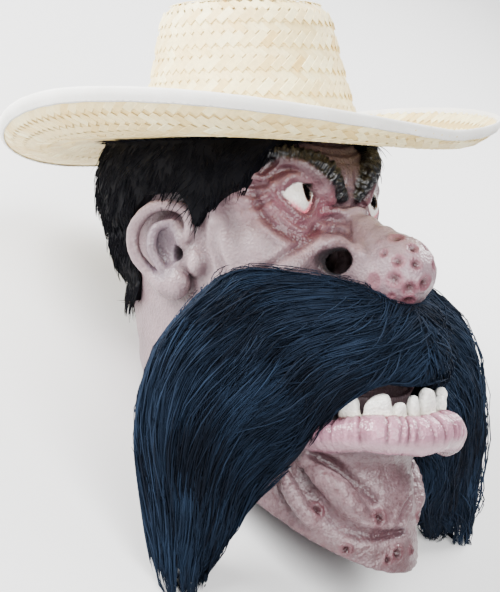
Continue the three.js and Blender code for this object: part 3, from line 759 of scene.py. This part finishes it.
# Shared by the painted pupils and the rings round them: a mask inside an oval that is set in worn axes
oval_inputs = {"Place": "Vector", "Centre": "Vector", "Radii": "Vector", "Edge": "Float"}
painted_oval, add, given = new_group("painted_oval", "ShaderNodeTree", oval_inputs, "Mask", "Float")
away = add("ShaderNodeVectorMath", {0: given["Place"], 1: given["Centre"]}, operation="SUBTRACT")
worn = add("ShaderNodeVectorRotate", {"Vector": away.outputs["Vector"], "Angle": TILT}, rotation_type="X_AXIS")
share = add("ShaderNodeVectorMath", {0: worn.outputs["Vector"], 1: given["Radii"]}, operation="DIVIDE")
reach = add("ShaderNodeVectorMath", {0: share.outputs["Vector"]}, operation="LENGTH").outputs["Value"]
outer = add("ShaderNodeMath", {0: 1.0, 1: given["Edge"]}, operation="ADD").outputs["Value"]
fade = add("ShaderNodeMapRange", {"Value": reach, "From Min": 1.0, "From Max": outer, "To Min": 1.0, "To Max": 0.0})
add("NodeGroupOutput", {"Mask": fade.outputs["Result"]})

outside = Finish("latex_skin")
mottle = outside.spread(outside.noise(60.0, 5.0, 0.6), 0.3, 0.7, 0.86, 1.1)
blotch = outside.spread(outside.noise(16.0, 3.0), 0.3, 0.7, 0.9, 1.07)
skin_colour = outside.shaded(outside.attribute("paint", "Vector"), outside.times(mottle, blotch))
flecks = outside.spread(outside.noise(260.0, 3.0, 0.7), 0.46, 0.64, 0.0, 0.75)
skin_colour = outside.mix(outside.times(flecks, outside.attribute("speckle")), skin_colour, colour(92, 62, 66))
on_ball_or_shaded_tunnel = outside.attribute("eyeball")
# brown ring, then black pupil; the black over the hole's rim and the tunnel's walls is painted shade
for s, f, u in pupil_at.values():
    for radii, edge, shade in (((5.9, 18, 8.6), 0.1, (96, 66, 52)), ((4.9, 17, 7.5), 0.08, (6, 5, 6))):
        oval = {"Place": outside.place, "Centre": tuple(laid([s, -f, u])), "Edge": edge}
        oval["Radii"] = tuple(r / 1000 for r in radii)
        mask = outside.add("ShaderNodeGroup", oval, node_tree=painted_oval).outputs["Mask"]
        skin_colour = outside.mix(outside.times(mask, on_ball_or_shaded_tunnel), skin_colour, colour(*shade))
pores = outside.add("ShaderNodeTexVoronoi", {"Vector": outside.place, "Scale": 420.0}).outputs["Distance"]
grain = outside.add("ShaderNodeMath", {0: pores, 1: outside.noise(170.0, 4.0)}, operation="ADD")
latex = outside.shade({
    "Base Color": skin_colour, "Roughness": outside.attribute("gloss"),
    "Normal": outside.relief(grain.outputs["Value"], 0.5, 0.0012),
    "Subsurface Weight": 0.03, "Subsurface Radius": (0.006, 0.003, 0.002),
    "Coat Weight": 0.12, "Coat Roughness": 0.16,
})  # fmt: skip
# The inside is coloured far darker than bare latex: painted shade for the dark inside seen through the holes
lining = Finish("latex_inside")
shaded_lining = lining.mix(lining.noise(22.0, 4.0), colour(46, 38, 36), colour(70, 58, 54))
mesh.materials.append(latex)
mesh.materials.append(lining.shade({"Base Color": shaded_lining, "Roughness": 0.6}))
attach(mask_skin, "root")
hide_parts("mask_shell")


# Fur. Each strand is a thin closed taper swept by Geometry Nodes along a line of points that follows the pile.
def realized(add, geometry, material):
    """Ends a Geometry Nodes group with real geometry in its material."""
    real = add("GeometryNodeRealizeInstances", {"Geometry": geometry})
    painted = add("GeometryNodeSetMaterial", {"Geometry": real.outputs["Geometry"], "Material": material})
    add("NodeGroupOutput", {"Geometry": painted.outputs["Geometry"]})


def grow(thing, group, given):
    """Runs a Geometry Nodes group on an object, with inputs given by name, and keeps the mesh it makes."""
    modifier = thing.modifiers.new(group.name, "NODES")
    modifier.node_group = group
    for item in group.interface.items_tree:
        if item.in_out == "INPUT" and item.name in given:
            modifier[item.identifier] = given[item.name]
    apply_modifiers(thing)


fur_inputs = {"Geometry": "Geometry", "Strand width": "Float", "Fur": "Material"}
strands, add, given = new_group("fur_strands", "GeometryNodeTree", fur_inputs, "Geometry", "Geometry")
lines = add("GeometryNodeMeshToCurve", {"Mesh": given["Geometry"]}).outputs["Curve"]
taper = add("GeometryNodeInputNamedAttribute", {"Name": "taper"}).outputs["Attribute"]
width = add("ShaderNodeMath", {0: taper, 1: given["Strand width"]}, operation="MULTIPLY").outputs["Value"]
wide = add("GeometryNodeSetCurveRadius", {"Curve": lines, "Radius": width}).outputs["Curve"]
round_section = add("GeometryNodeCurvePrimitiveCircle", {"Resolution": 3, "Radius": 0.5}).outputs["Curve"]
swept = {"Curve": wide, "Profile Curve": round_section, "Scale": width, "Fill Caps": True}
realized(add, add("GeometryNodeCurveToMesh", swept).outputs["Mesh"], given["Fur"])


def fur_piece(name, lines, tapers, tones, width, material):
    """lines is strands x points x 3 in metres, with a taper for each point and a tone for each strand."""
    count, steps, _ = lines.shape
    mesh = bpy.data.meshes.new(name)
    start = np.arange(count)[:, None] * steps + np.arange(steps - 1)[None]
    edges = np.stack([start, start + 1], -1).reshape(-1, 2)
    mesh.from_pydata(lines.reshape(-1, 3).tolist(), edges.tolist(), [])
    set_values(mesh, "taper", tapers)
    set_values(mesh, "tone", np.repeat(tones, steps))
    grown = new_object(name, mesh)
    grow(grown, strands, {"Strand width": width, "Fur": material})
    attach(grown, "root")
    return grown


def fur_material(name, dark, light, rough):
    fur = Finish(name)
    share = fur.times(fur.attribute("tone"), fur.noise(28.0, 3.0))
    tint = fur.mix(share, colour(*dark), colour(*light))
    return fur.shade({"Base Color": tint, "Roughness": rough, "Specular IOR Level": 0.1})


def clear_of_skin(points, room):
    """Points moved out of the mask's own body, if they are in it."""
    for _ in range(3):
        depth = field_at(points, solid_field)
        low = np.all((points > grid_low) & (points < grid_high), axis=1)
        push = np.where(low, np.maximum(room - depth, 0), 0)
        points = points + outward(points, solid_field) * push[:, None]
    return points


# Wig. Short black synthetic fur on a cloth cap, combed down and back, with a ragged edge over the temple,
# a pointed sideburn in front of each ear and a low nape.
wig_fur = fur_material("wig_fur", (2, 2, 6), (11, 12, 20), 0.7)
wig_cap = new_object("wig_cap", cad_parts["hair"].data.copy())
wig_mesh = wig_cap.data
edit = bmesh.new()
edit.from_mesh(wig_mesh)
bmesh.ops.remove_doubles(edit, verts=edit.verts[:], dist=1e-5)
bmesh.ops.subdivide_edges(edit, edges=edit.edges[:], cuts=2, use_grid_fill=True)
bmesh.ops.triangulate(edit, faces=edit.faces[:])
edit.to_mesh(wig_mesh)
edit.free()
wig_mesh.materials.clear()
wig_mesh.materials.append(wig_fur)
set_values(wig_mesh, "tone", np.full(len(wig_mesh.vertices), 0.2))
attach(wig_cap, "root")
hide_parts("hair")

wig_points = np.array([v.co for v in wig_mesh.vertices])
wig_tris = np.array([p.vertices[:] for p in wig_mesh.polygons])
corners = ((wig_points[wig_tris] * 1000) - PLACE) @ LAID
cross = np.cross(corners[:, 1] - corners[:, 0], corners[:, 2] - corners[:, 0])
areas = np.linalg.norm(cross, axis=1) / 2
face_normals = cross / np.maximum(2 * areas[:, None], 1e-9)
middles = corners.mean(1)
bare = np.sum(face_normals * outward(middles, solid_field), axis=1) > 0.1
wanted = bare & (middles[:, 2] < 133)
rng = np.random.default_rng(21)
wig_count = 6100
picks = rng.choice(np.flatnonzero(wanted), wig_count, p=areas[wanted] / areas[wanted].sum())
mix = rng.dirichlet((1, 1, 1), wig_count)
roots = (corners[picks] * mix[:, :, None]).sum(1)
up_way = face_normals[picks]
comb = np.tile(np.array([0.0, 0.35, -1.0]), (wig_count, 1))
comb[:, 0] += 0.35 * wobble(roots, 46, 31)
comb[:, 1] += 0.5 * wobble(roots, 38, 32)
comb += rng.normal(0, 0.16, comb.shape)
comb -= up_way * np.sum(comb * up_way, axis=1, keepdims=True)
comb /= np.linalg.norm(comb, axis=1, keepdims=True)
lengths = rng.uniform(13, 24, wig_count) * (0.75 + 0.25 * wobble(roots, 30, 33))
wig_steps = 5
share = np.linspace(0, 1, wig_steps)
rise = rng.uniform(0.18, 0.42, wig_count)[:, None] * np.sin(share * 2.2)[None]
lines = (
    roots[:, None]
    - up_way[:, None] * 0.8
    + comb[:, None] * (lengths[:, None] * share)[..., None]
    + up_way[:, None] * (lengths[:, None] * rise * 0.45)[..., None]
)
lines = clear_of_skin(lines.reshape(-1, 3), 0.4).reshape(lines.shape)
tapers = (1 - 0.85 * share**1.5)[None] * rng.uniform(0.7, 1.3, wig_count)[:, None]
wig = fur_piece("wig_pile", laid(lines), tapers, rng.uniform(0.1, 1, wig_count), 0.001, wig_fur)

# Moustache. Two huge drooping wings of long navy-black fur, parted under the nose, its hair running from the
# nose over the top of each wing and down to ragged points, with a fringe over the teeth.
upper_edge = [(0, 166, 2), (42, 132, 18), (96, 74, 26), (146, 76, 6),
              (188, 80, -34), (207, 78, -96), (206, 78, -158), (202, 80, -216)]  # fmt: skip
lower_edge = [(0, 176, -66), (42, 164, -64), (69, 133, -91), (80, 112, -126),
              (96, 96, -156), (118, 86, -184), (148, 80, -213)]  # fmt: skip
EDGE_STEPS = 240
SWEPT_BACK, WING_DEPTH, WING_LENGTH, WING_WIDTH = 17, 19, 330, 125
edge_share = np.linspace(0, 1, EDGE_STEPS + 1)
edges_of = {}
for side in (-1, 1):
    pair = []
    for stations in (upper_edge, lower_edge):
        line, _ = smooth_line([(side * s, f, u) for s, f, u in stations], [1, 1], EDGE_STEPS)
        line[:, 1] -= side * SWEPT_BACK * np.sin(math.pi * edge_share) ** 0.8 * ramp(edge_share, 0.42, 0.74)
        pair.append(line)
    edges_of[side] = pair


def on_edge(line, share):
    """A point of an edge line, carried straight on past its end."""
    place = np.clip(share, 0, 1) * EDGE_STEPS
    i = np.minimum(place.astype(int), EDGE_STEPS - 1)
    found = line[i] + (line[i + 1] - line[i]) * (place - i)[:, None]
    beyond = np.maximum(share - 1, 0)[:, None] * EDGE_STEPS
    return found + beyond * (line[-1] - line[-2])


def wing_point(side, share, place, face, extra):
    """A point of a wing: share from nose to tip, place from upper to lower edge, face front or back."""
    top, low = (on_edge(line, share) for line in edges_of[side])
    bulge = WING_DEPTH * (1 - 0.55 * np.clip(share, 0, 1) ** 3) * np.sin(math.pi * np.clip(place, 0.005, 0.995)) ** 0.55
    out = np.stack([side * (0.25 + 0.5 * share), -np.ones(len(share)), 0.1 * (1 - share)], 1)
    out /= np.linalg.norm(out, axis=1, keepdims=True)
    return top + (low - top) * place[:, None] + out * (face * (bulge * 0.9 + extra))[:, None]


moustache_fur = fur_material("moustache_fur", (12, 16, 25), (38, 54, 76), 0.85)
body_points = []
stations, around = 90, 64
for k in range(-stations, stations + 1):
    side = -1 if k < 0 else 1
    turn = np.arange(around) / around
    face = np.where(turn < 0.5, 1.0, -1.0)
    place = np.where(turn < 0.5, turn * 2, 2 - turn * 2)
    share = abs(k) / stations * (0.9 + 0.06 * np.abs(np.sin(place * 13 + side)))
    place = place - 0.06 * (1 - place) * ramp(share, 0.3, 0.6)
    ridge = 1.3 * np.sin(place * 38 + 3 * np.sin(share * 9)) + 1.6 * np.sin(place * 17 - share * 14)
    body_points.append(wing_point(side, share, place, face, ridge - 2.4))
body_points = np.concatenate(body_points)
body_points = clear_of_skin(body_points, 0.4)


def ring_faces(rings, around, first=0, closed=False):
    """Quads between closed rings of points; a closed run of rings also joins the last to the first."""
    faces = []
    for ring in range(rings if closed else rings - 1):
        here, after = (first + (ring + k) % rings * around for k in (0, 1))
        faces += [(here + i, after + i, after + (i + 1) % around, here + (i + 1) % around) for i in range(around)]
    return faces


def face_outwards(thing, split=False):
    """Turns a closed mesh's faces outwards, split into triangles if asked."""
    edit = bmesh.new()
    edit.from_mesh(thing.data)
    if split:
        bmesh.ops.triangulate(edit, faces=edit.faces[:])
    bmesh.ops.recalc_face_normals(edit, faces=edit.faces[:])
    edit.to_mesh(thing.data)
    edit.free()
    thing.data.shade_smooth()


rings = 2 * stations + 1
ends = [tuple(range(around)), tuple(reversed(range((rings - 1) * around, rings * around)))]
placed = laid(body_points)
placed[:, 2] = np.maximum(placed[:, 2], 0.0002)
moustache_body = mesh_object("moustache_body", placed, ring_faces(rings, around) + ends)
face_outwards(moustache_body, split=True)
moustache_body.data.materials.append(moustache_fur)
set_values(moustache_body.data, "tone", np.full(len(body_points), 0.15))
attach(moustache_body, "root")
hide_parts("moustache")

# The strands grow in tufts: those of a tuft start apart and draw together to one ragged point
strand_steps = 5
STRANDS, TUFTS = {True: 7300, False: 2600}, {True: 420, False: 150}
for side, name, front in (
    (-1, "moustache_front_right", True),
    (1, "moustache_front_left", True),
    (-1, "moustache_back_right", False),
    (1, "moustache_back_left", False),
):
    rng = np.random.default_rng(40 + side + 5 * front)
    count = STRANDS[front] // 1
    tufts = TUFTS[front]
    tuft_share = rng.uniform(-0.02, 0.97, tufts)
    tuft_place = rng.uniform(-0.03, 0.98, tufts)
    tuft_length = rng.uniform(46, 96, tufts)
    tuft_lift = rng.uniform(0, 5, tufts)
    map_place = np.stack([tuft_share * 320, tuft_place * 120, np.full(tufts, 40.0 * front)], 1)
    tuft_drift = 0.22 * wobble(map_place, 70, 55) + rng.normal(0, 0.07, tufts)
    spiky = rng.uniform(size=tufts) < 0.22
    tuft_end = np.where(spiky, rng.uniform(0.99, 1.05, tufts), rng.uniform(0.9, 0.98, tufts))
    tuft_tone = np.clip(0.6 + 0.45 * wobble(map_place, 75, 56) + rng.normal(0, 0.18, tufts), 0.02, 1.3)
    own = rng.integers(0, tufts, count)
    apart_share = rng.normal(0, 0.03, count)
    apart_place = rng.normal(0, 0.05, count)
    length = tuft_length[own] * rng.uniform(0.7, 1.1, count)
    stray = rng.uniform(size=count) < 0.05
    lift = tuft_lift[own] + rng.uniform(0, 1.6, count) + np.where(stray, rng.uniform(2, 7, count), 0)
    drift = tuft_drift[own]
    s, p = np.maximum(tuft_share[own], 0), tuft_place[own].copy()
    # short fuzz stands up along the wing's top edge
    fuzz = rng.uniform(size=count) < (0.16 if front else 0)
    s[fuzz] = rng.uniform(0.02, 0.9, fuzz.sum())
    p[fuzz] = rng.uniform(-0.02, 0.12, fuzz.sum())
    length[fuzz] = rng.uniform(7, 17, fuzz.sum())
    lift[fuzz] = rng.uniform(0, 5, fuzz.sum())
    drift[fuzz] = rng.uniform(-0.9, 0.3, fuzz.sum()) * (1 - 0.7 * ramp(s[fuzz], 0.15, 0.35))
    s = np.minimum(s, tuft_end[own] - 0.04)
    length = np.minimum(length, (tuft_end[own] - s) * 340)
    path = []
    for step in range(strand_steps):
        t = step / (strand_steps - 1)
        apart = 1 - 0.7 * t**1.3
        along = np.clip(s + apart_share * apart, 0.0, 1.06)
        outer = -0.015 - 0.045 * np.maximum(ramp(along, 0.35, 0.6), fuzz)
        across = np.clip(p + apart_place * apart, outer, 1.0 + 0.02 * (along > 0.3))
        path.append(wing_point(side, along, across, 1 if front else -1, -1.5 + lift * math.sin(0.25 + t * 2.5)))
        down = 0.8 * (1 - ramp(s, 0.03, 0.24)) + 0.12 * np.sin(s * 11)
        piece = length / (strand_steps - 1)
        s = s + piece * np.sqrt(np.maximum(1 - down**2, 0.1)) / WING_LENGTH
        p = p + piece * (down * (1 - fuzz) + drift * (0.4 + t)) / WING_WIDTH
    lines = np.stack(path, 1)
    lines[..., 0] += (rng.normal(0, 3.0, count) * (tuft_share[own] < 0.03))[:, None]
    lines += rng.normal(0, 0.35, lines.shape) * np.linspace(0, 1, strand_steps)[None, :, None]
    lines = clear_of_skin(lines.reshape(-1, 3), 0.5).reshape(lines.shape)
    placed = laid(lines)
    placed[..., 2] = np.maximum(placed[..., 2], 0.001)
    t = np.linspace(0, 1, strand_steps)
    tapers = ((0.7 + 0.5 * np.sin(t * 2.6)) * (1 - 0.9 * t**3))[None] * rng.uniform(0.6, 1.3, count)[:, None]
    tapers[fuzz] *= 0.55
    tones = np.clip(tuft_tone[own] + rng.normal(0, 0.1, count), 0.02, 1.4)
    pile = fur_piece(name, placed, tapers, tones, 0.0012, moustache_fur)

# Straw hat. One long plait of flat splints sewn round and round, each row lapping the next, from the middle of
# the crown to the brim's edge; the brim sags, then curls up at both sides.
CROWN_W, CROWN_L, BRIM_R, BRIM_UP, CROWN_H = 90, 98, 210, 138, 113


def drape(points):
    x, y, z = points.T.copy()
    radius = np.hypot(x, y)
    inner = CROWN_L * 1.3
    outwards = np.maximum(0, (radius - inner) / (BRIM_R - inner))
    sideways = np.where(radius > 0, x / np.maximum(radius, 1e-6), 0) ** 2
    front = y < 0
    rise = np.where(front, 31.5 * sideways**0.7 - 1.5, 46 * sideways - 16)
    sag = 13 * ramp(outwards, 0, 0.8) * (1 - 0.85 * sideways) * np.where(front, 1, 1.15)
    curl = outwards**4
    z = z + (1 - curl) * -sag + curl * rise
    oval = 1 - ramp(radius, CROWN_L, inner)
    x = x * (1 - oval * (1 - CROWN_W / CROWN_L))
    y = y + 5 * np.maximum(z, 0) * oval / CROWN_H
    return np.stack([x, y, z + BRIM_UP], 1)


# The hat's section from the middle of the crown to the edge: radius and height of its upper face
section = np.array(
    [(0, 113), (43, 111.5), (60, 109.5), (66, 107), (71, 102), (74.5, 93),
     (81, 62), (88.5, 31), (95, 6), (99, 1), (106, 0), (209.5, 0)],
    float,
)  # fmt: skip
section_run = np.concatenate([[0], np.cumsum(np.linalg.norm(np.diff(section, axis=0), axis=1))])
ROW, STRAW_THICK = 20.5, 3.6


def hat_point(run, angle, lift):
    """A point of the hat: run is how far along the section, angle round the crown, lift above the face."""
    (r, z), (r_on, z_on), (r_back, z_back) = (
        [np.interp(run + step, section_run, section[:, k]) for k in (0, 1)] for step in (0, 1.5, -1.5)
    )
    ahead_r, ahead_z = r_on - r_back, z_on - z_back
    size = np.maximum(np.hypot(ahead_r, ahead_z), 1e-6)
    r = np.maximum(r - lift * ahead_z / size, 0)
    z = z + lift * ahead_r / size
    return drape(np.stack([r * np.sin(angle), -r * np.cos(angle), z], 1))


hat_end = section_run[-1]
row_count = int(hat_end / ROW) + 1
row_of = hat_end - ROW * np.arange(row_count)[::-1]
profile = []
for edge in row_of:
    start = max(edge - ROW, 0.6)
    profile += [(start + 0.2, 0.3), (start + 1.5, 0.0), (edge - 7, 0.15), (edge - 1.5, 0.75), (edge - 0.2, 0.95)]
profile = [(max(run, 0.5), lift) for run, lift in profile]
outline = profile + [(run, -STRAW_THICK) for run in np.linspace(hat_end, 2, 34)]
hat_turns = 144
angles = np.arange(hat_turns) / hat_turns * 2 * math.pi
top, under = (hat_point(np.array([0.0]), np.array([0.0]), lift) for lift in (0.3, -STRAW_THICK))
rows = [hat_point(np.full(hat_turns, run), angles, lift) for run, lift in outline]
hat_points = np.concatenate([top, *rows, under])
hat_faces = ring_faces(len(outline), hat_turns, first=1)
last = 1 + (len(outline) - 1) * hat_turns
for i in range(hat_turns):
    j = (i + 1) % hat_turns
    hat_faces += [(0, 1 + i, 1 + j), (len(hat_points) - 1, last + j, last + i)]
hat = mesh_object("hat_plait", laid(hat_points), hat_faces)
face_outwards(hat)

plait = Finish("straw")
fibre = plait.noise(240.0, 4.0)
share = plait.times(plait.attribute("tone"), plait.noise(18.0, 3.0))
dry = plait.mix(share, colour(224, 192, 120), colour(254, 243, 192))
dry = plait.shaded(dry, plait.spread(fibre, 0.3, 0.7, 0.88, 1.06))
straw = plait.shade({"Base Color": dry, "Normal": plait.relief(fibre, 0.3, 0.0008), "Roughness": 0.55})
hat.data.materials.append(straw)
# The crown is toned paler than the brim: a painted highlight for the strong light on the crown
from_axis = np.hypot(hat_points[:, 0], hat_points[:, 1])
set_values(hat.data, "tone", 0.8 - 0.55 * ramp(from_axis, 90, 120))
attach(hat, "root")
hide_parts("hat_straw")


# The plait's splints: small slanted straps in a herringbone, set along every row by Geometry Nodes, on points
# whose attributes give each one's long way and outward way
strap_inputs = {
    "Geometry": "Geometry", "Shape": "Object", "Size spread": "Float", "Seed": "Int", "Finish": "Material",
}  # fmt: skip
set_straps, add, given = new_group("set_straps", "GeometryNodeTree", strap_inputs, "Geometry", "Geometry")
shape = add("GeometryNodeObjectInfo", {"Object": given["Shape"]}).outputs["Geometry"]
long_read, out_read = (
    add("GeometryNodeInputNamedAttribute", {"Name": name}, data_type="FLOAT_VECTOR").outputs["Attribute"]
    for name in ("long_way", "out_way")
)
turn = add("FunctionNodeAxesToRotation", {0: long_read, 1: out_read}, primary_axis="X", secondary_axis="Z")
small, large = (
    add("ShaderNodeMath", {0: 1.0, 1: given["Size spread"]}, operation=way).outputs["Value"]
    for way in ("SUBTRACT", "ADD")
)
size = add("FunctionNodeRandomValue", {2: small, 3: large, "Seed": given["Seed"]}, data_type="FLOAT").outputs[1]
put = {"Points": given["Geometry"], "Instance": shape, "Rotation": turn.outputs["Rotation"], "Scale": size}
realized(add, add("GeometryNodeInstanceOnPoints", put).outputs["Instances"], given["Finish"])


def strap_piece(name, places, ways, tones, shape, spread, seed, material):
    mesh = bpy.data.meshes.new(name)
    mesh.from_pydata(laid(places).tolist(), [], [])
    for attribute, values in zip(("long_way", "out_way"), ways):
        set_values(mesh, attribute, values @ LAID.T, "FLOAT_VECTOR")
    set_values(mesh, "tone", tones)
    made = new_object(name, mesh)
    grow(made, set_straps, {"Shape": shape, "Size spread": spread, "Seed": seed, "Finish": material})
    bpy.data.objects.remove(shape)
    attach(made, "root")
    return made


def strap(name, length, width, thick):
    """A closed flat strap with bevelled sides."""
    half, side = length / 2, width / 2
    low = [(-half, -side), (half, -side), (half, side), (-half, side)]
    points = [(x, y, 0) for x, y in low] + [(x * 0.97, y * 0.86, thick) for x, y in low]
    faces = [(3, 2, 1, 0), (4, 5, 6, 7)] + [(i, (i + 1) % 4, (i + 1) % 4 + 4, i + 4) for i in range(4)]
    return mesh_object(name, np.array(points) / 1000, faces, smooth=False)


rng = np.random.default_rng(61)
BARE_CROWN, SPLINT_STEP, BRIM_RUN = 5, 9.4, 213
set_at = []
for row, edge in enumerate(row_of):
    start = max(edge - ROW, 0)
    for half, slant in ((0.25, 1), (0.75, -1)):
        run = start + (edge - start) * half
        radius = np.interp(run, section_run, section[:, 0])
        if radius < BARE_CROWN:
            continue
        count = max(6, int(2 * math.pi * radius / SPLINT_STEP))
        for k in range(count):
            set_at.append((run, (k + 0.5 * (slant > 0) + 0.3 * row) / count * 2 * math.pi, slant, 1))
            if run > BRIM_RUN:
                set_at.append((run, (k + 0.5 * (slant > 0)) / count * 2 * math.pi, -slant, -1))
runs, turns, slants, faces_up = np.array(set_at, float).T
lift = np.where(faces_up > 0, 0.1 + 1.3 * (slants < 0), -3.75)
here = hat_point(runs, turns, lift)
round_way = hat_point(runs, turns + 0.01, lift) - here
down_way = hat_point(runs + 0.8, turns, lift) - here
round_way /= np.linalg.norm(round_way, axis=1, keepdims=True)
down_way /= np.linalg.norm(down_way, axis=1, keepdims=True)
out_way = np.cross(round_way, down_way)
out_way /= np.linalg.norm(out_way, axis=1, keepdims=True)
above = hat_point(runs, turns, lift + 1) - here
out_way *= np.sign(np.sum(out_way * above, axis=1, keepdims=True)) * faces_up[:, None]
long_way = round_way * 0.7 + down_way * (slants * 0.71)[:, None]
out_way = out_way + 0.07 * np.cross(long_way, out_way)
# splints under the brim are toned darker: painted shade for the brim's underside
tones = np.clip(rng.normal(1.15, 0.4, len(runs)) - 0.3 * (faces_up < 0), 0, 2)
splint = strap("splint", 14.8, 7.6, 0.5)
splints = strap_piece("hat_splints", here, (long_way, out_way), tones, splint, 0.06, 7, straw)

# Brim binding. A white woven tape folded over the brim's edge and sewn down with small stitches on both faces.
# Its section is a flat U lying on its side, given by radius and height.
tape_half = [(207.2, 0.9), (207.2, 1.6), (208.6, 1.75), (210.4, 1.4), (211.4, 0.3), (211.7, -2.0)]
tape_inner = [(210.3, -4.9), (210.5, -2.0), (210.3, 0.9)]
tape_ring = tape_half + [(r, -4 - z) for r, z in tape_half[::-1][1:]] + tape_inner
tape_turns = 256
STITCH_AT = 208.3


def tape_place(radius, angle, z):
    return drape(np.stack([radius * np.sin(angle), -radius * np.cos(angle), z], 1))


angles = np.arange(tape_turns) / tape_turns * 2 * math.pi
tape_points = []
for r, z in tape_ring:
    wave = 0.22 * np.sin(angles * 41 + 1.5 * np.sin(angles * 7)) * (1 if r < 208 else 0.3)
    tape_points.append(tape_place(r, angles, z + wave))
tape_points = laid(np.concatenate(tape_points))
binding = mesh_object("hat_tape", tape_points, ring_faces(len(tape_ring), tape_turns, closed=True))
face_outwards(binding)
woven = Finish("tape_cloth")
threads = woven.noise(900.0, 2.0)
clean = woven.mix(woven.noise(30.0, 3.0), colour(216, 213, 205), colour(250, 249, 246))
tape_cloth = woven.shade({"Base Color": clean, "Normal": woven.relief(threads, 0.4, 0.0004), "Roughness": 0.8})
binding.data.materials.append(tape_cloth)
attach(binding, "root")
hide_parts("hat_binding")

stitch_count = 220
turns = np.repeat(np.arange(stitch_count) / stitch_count * 2 * math.pi, 2)
faces_up = np.tile([1.0, -1.0], stitch_count)
height = np.where(faces_up > 0, 1.65, -5.65)
here = tape_place(STITCH_AT, turns, height)
ways = (
    tape_place(STITCH_AT, turns + 0.01, height) - here,
    (tape_place(STITCH_AT, turns, height + 1) - here) * faces_up[:, None],
)
stitch = strap("stitch", 2.8, 0.8, 0.4)
stitches = strap_piece("hat_stitches", here, ways, np.ones(len(turns)), stitch, 0.1, 9, tape_cloth)
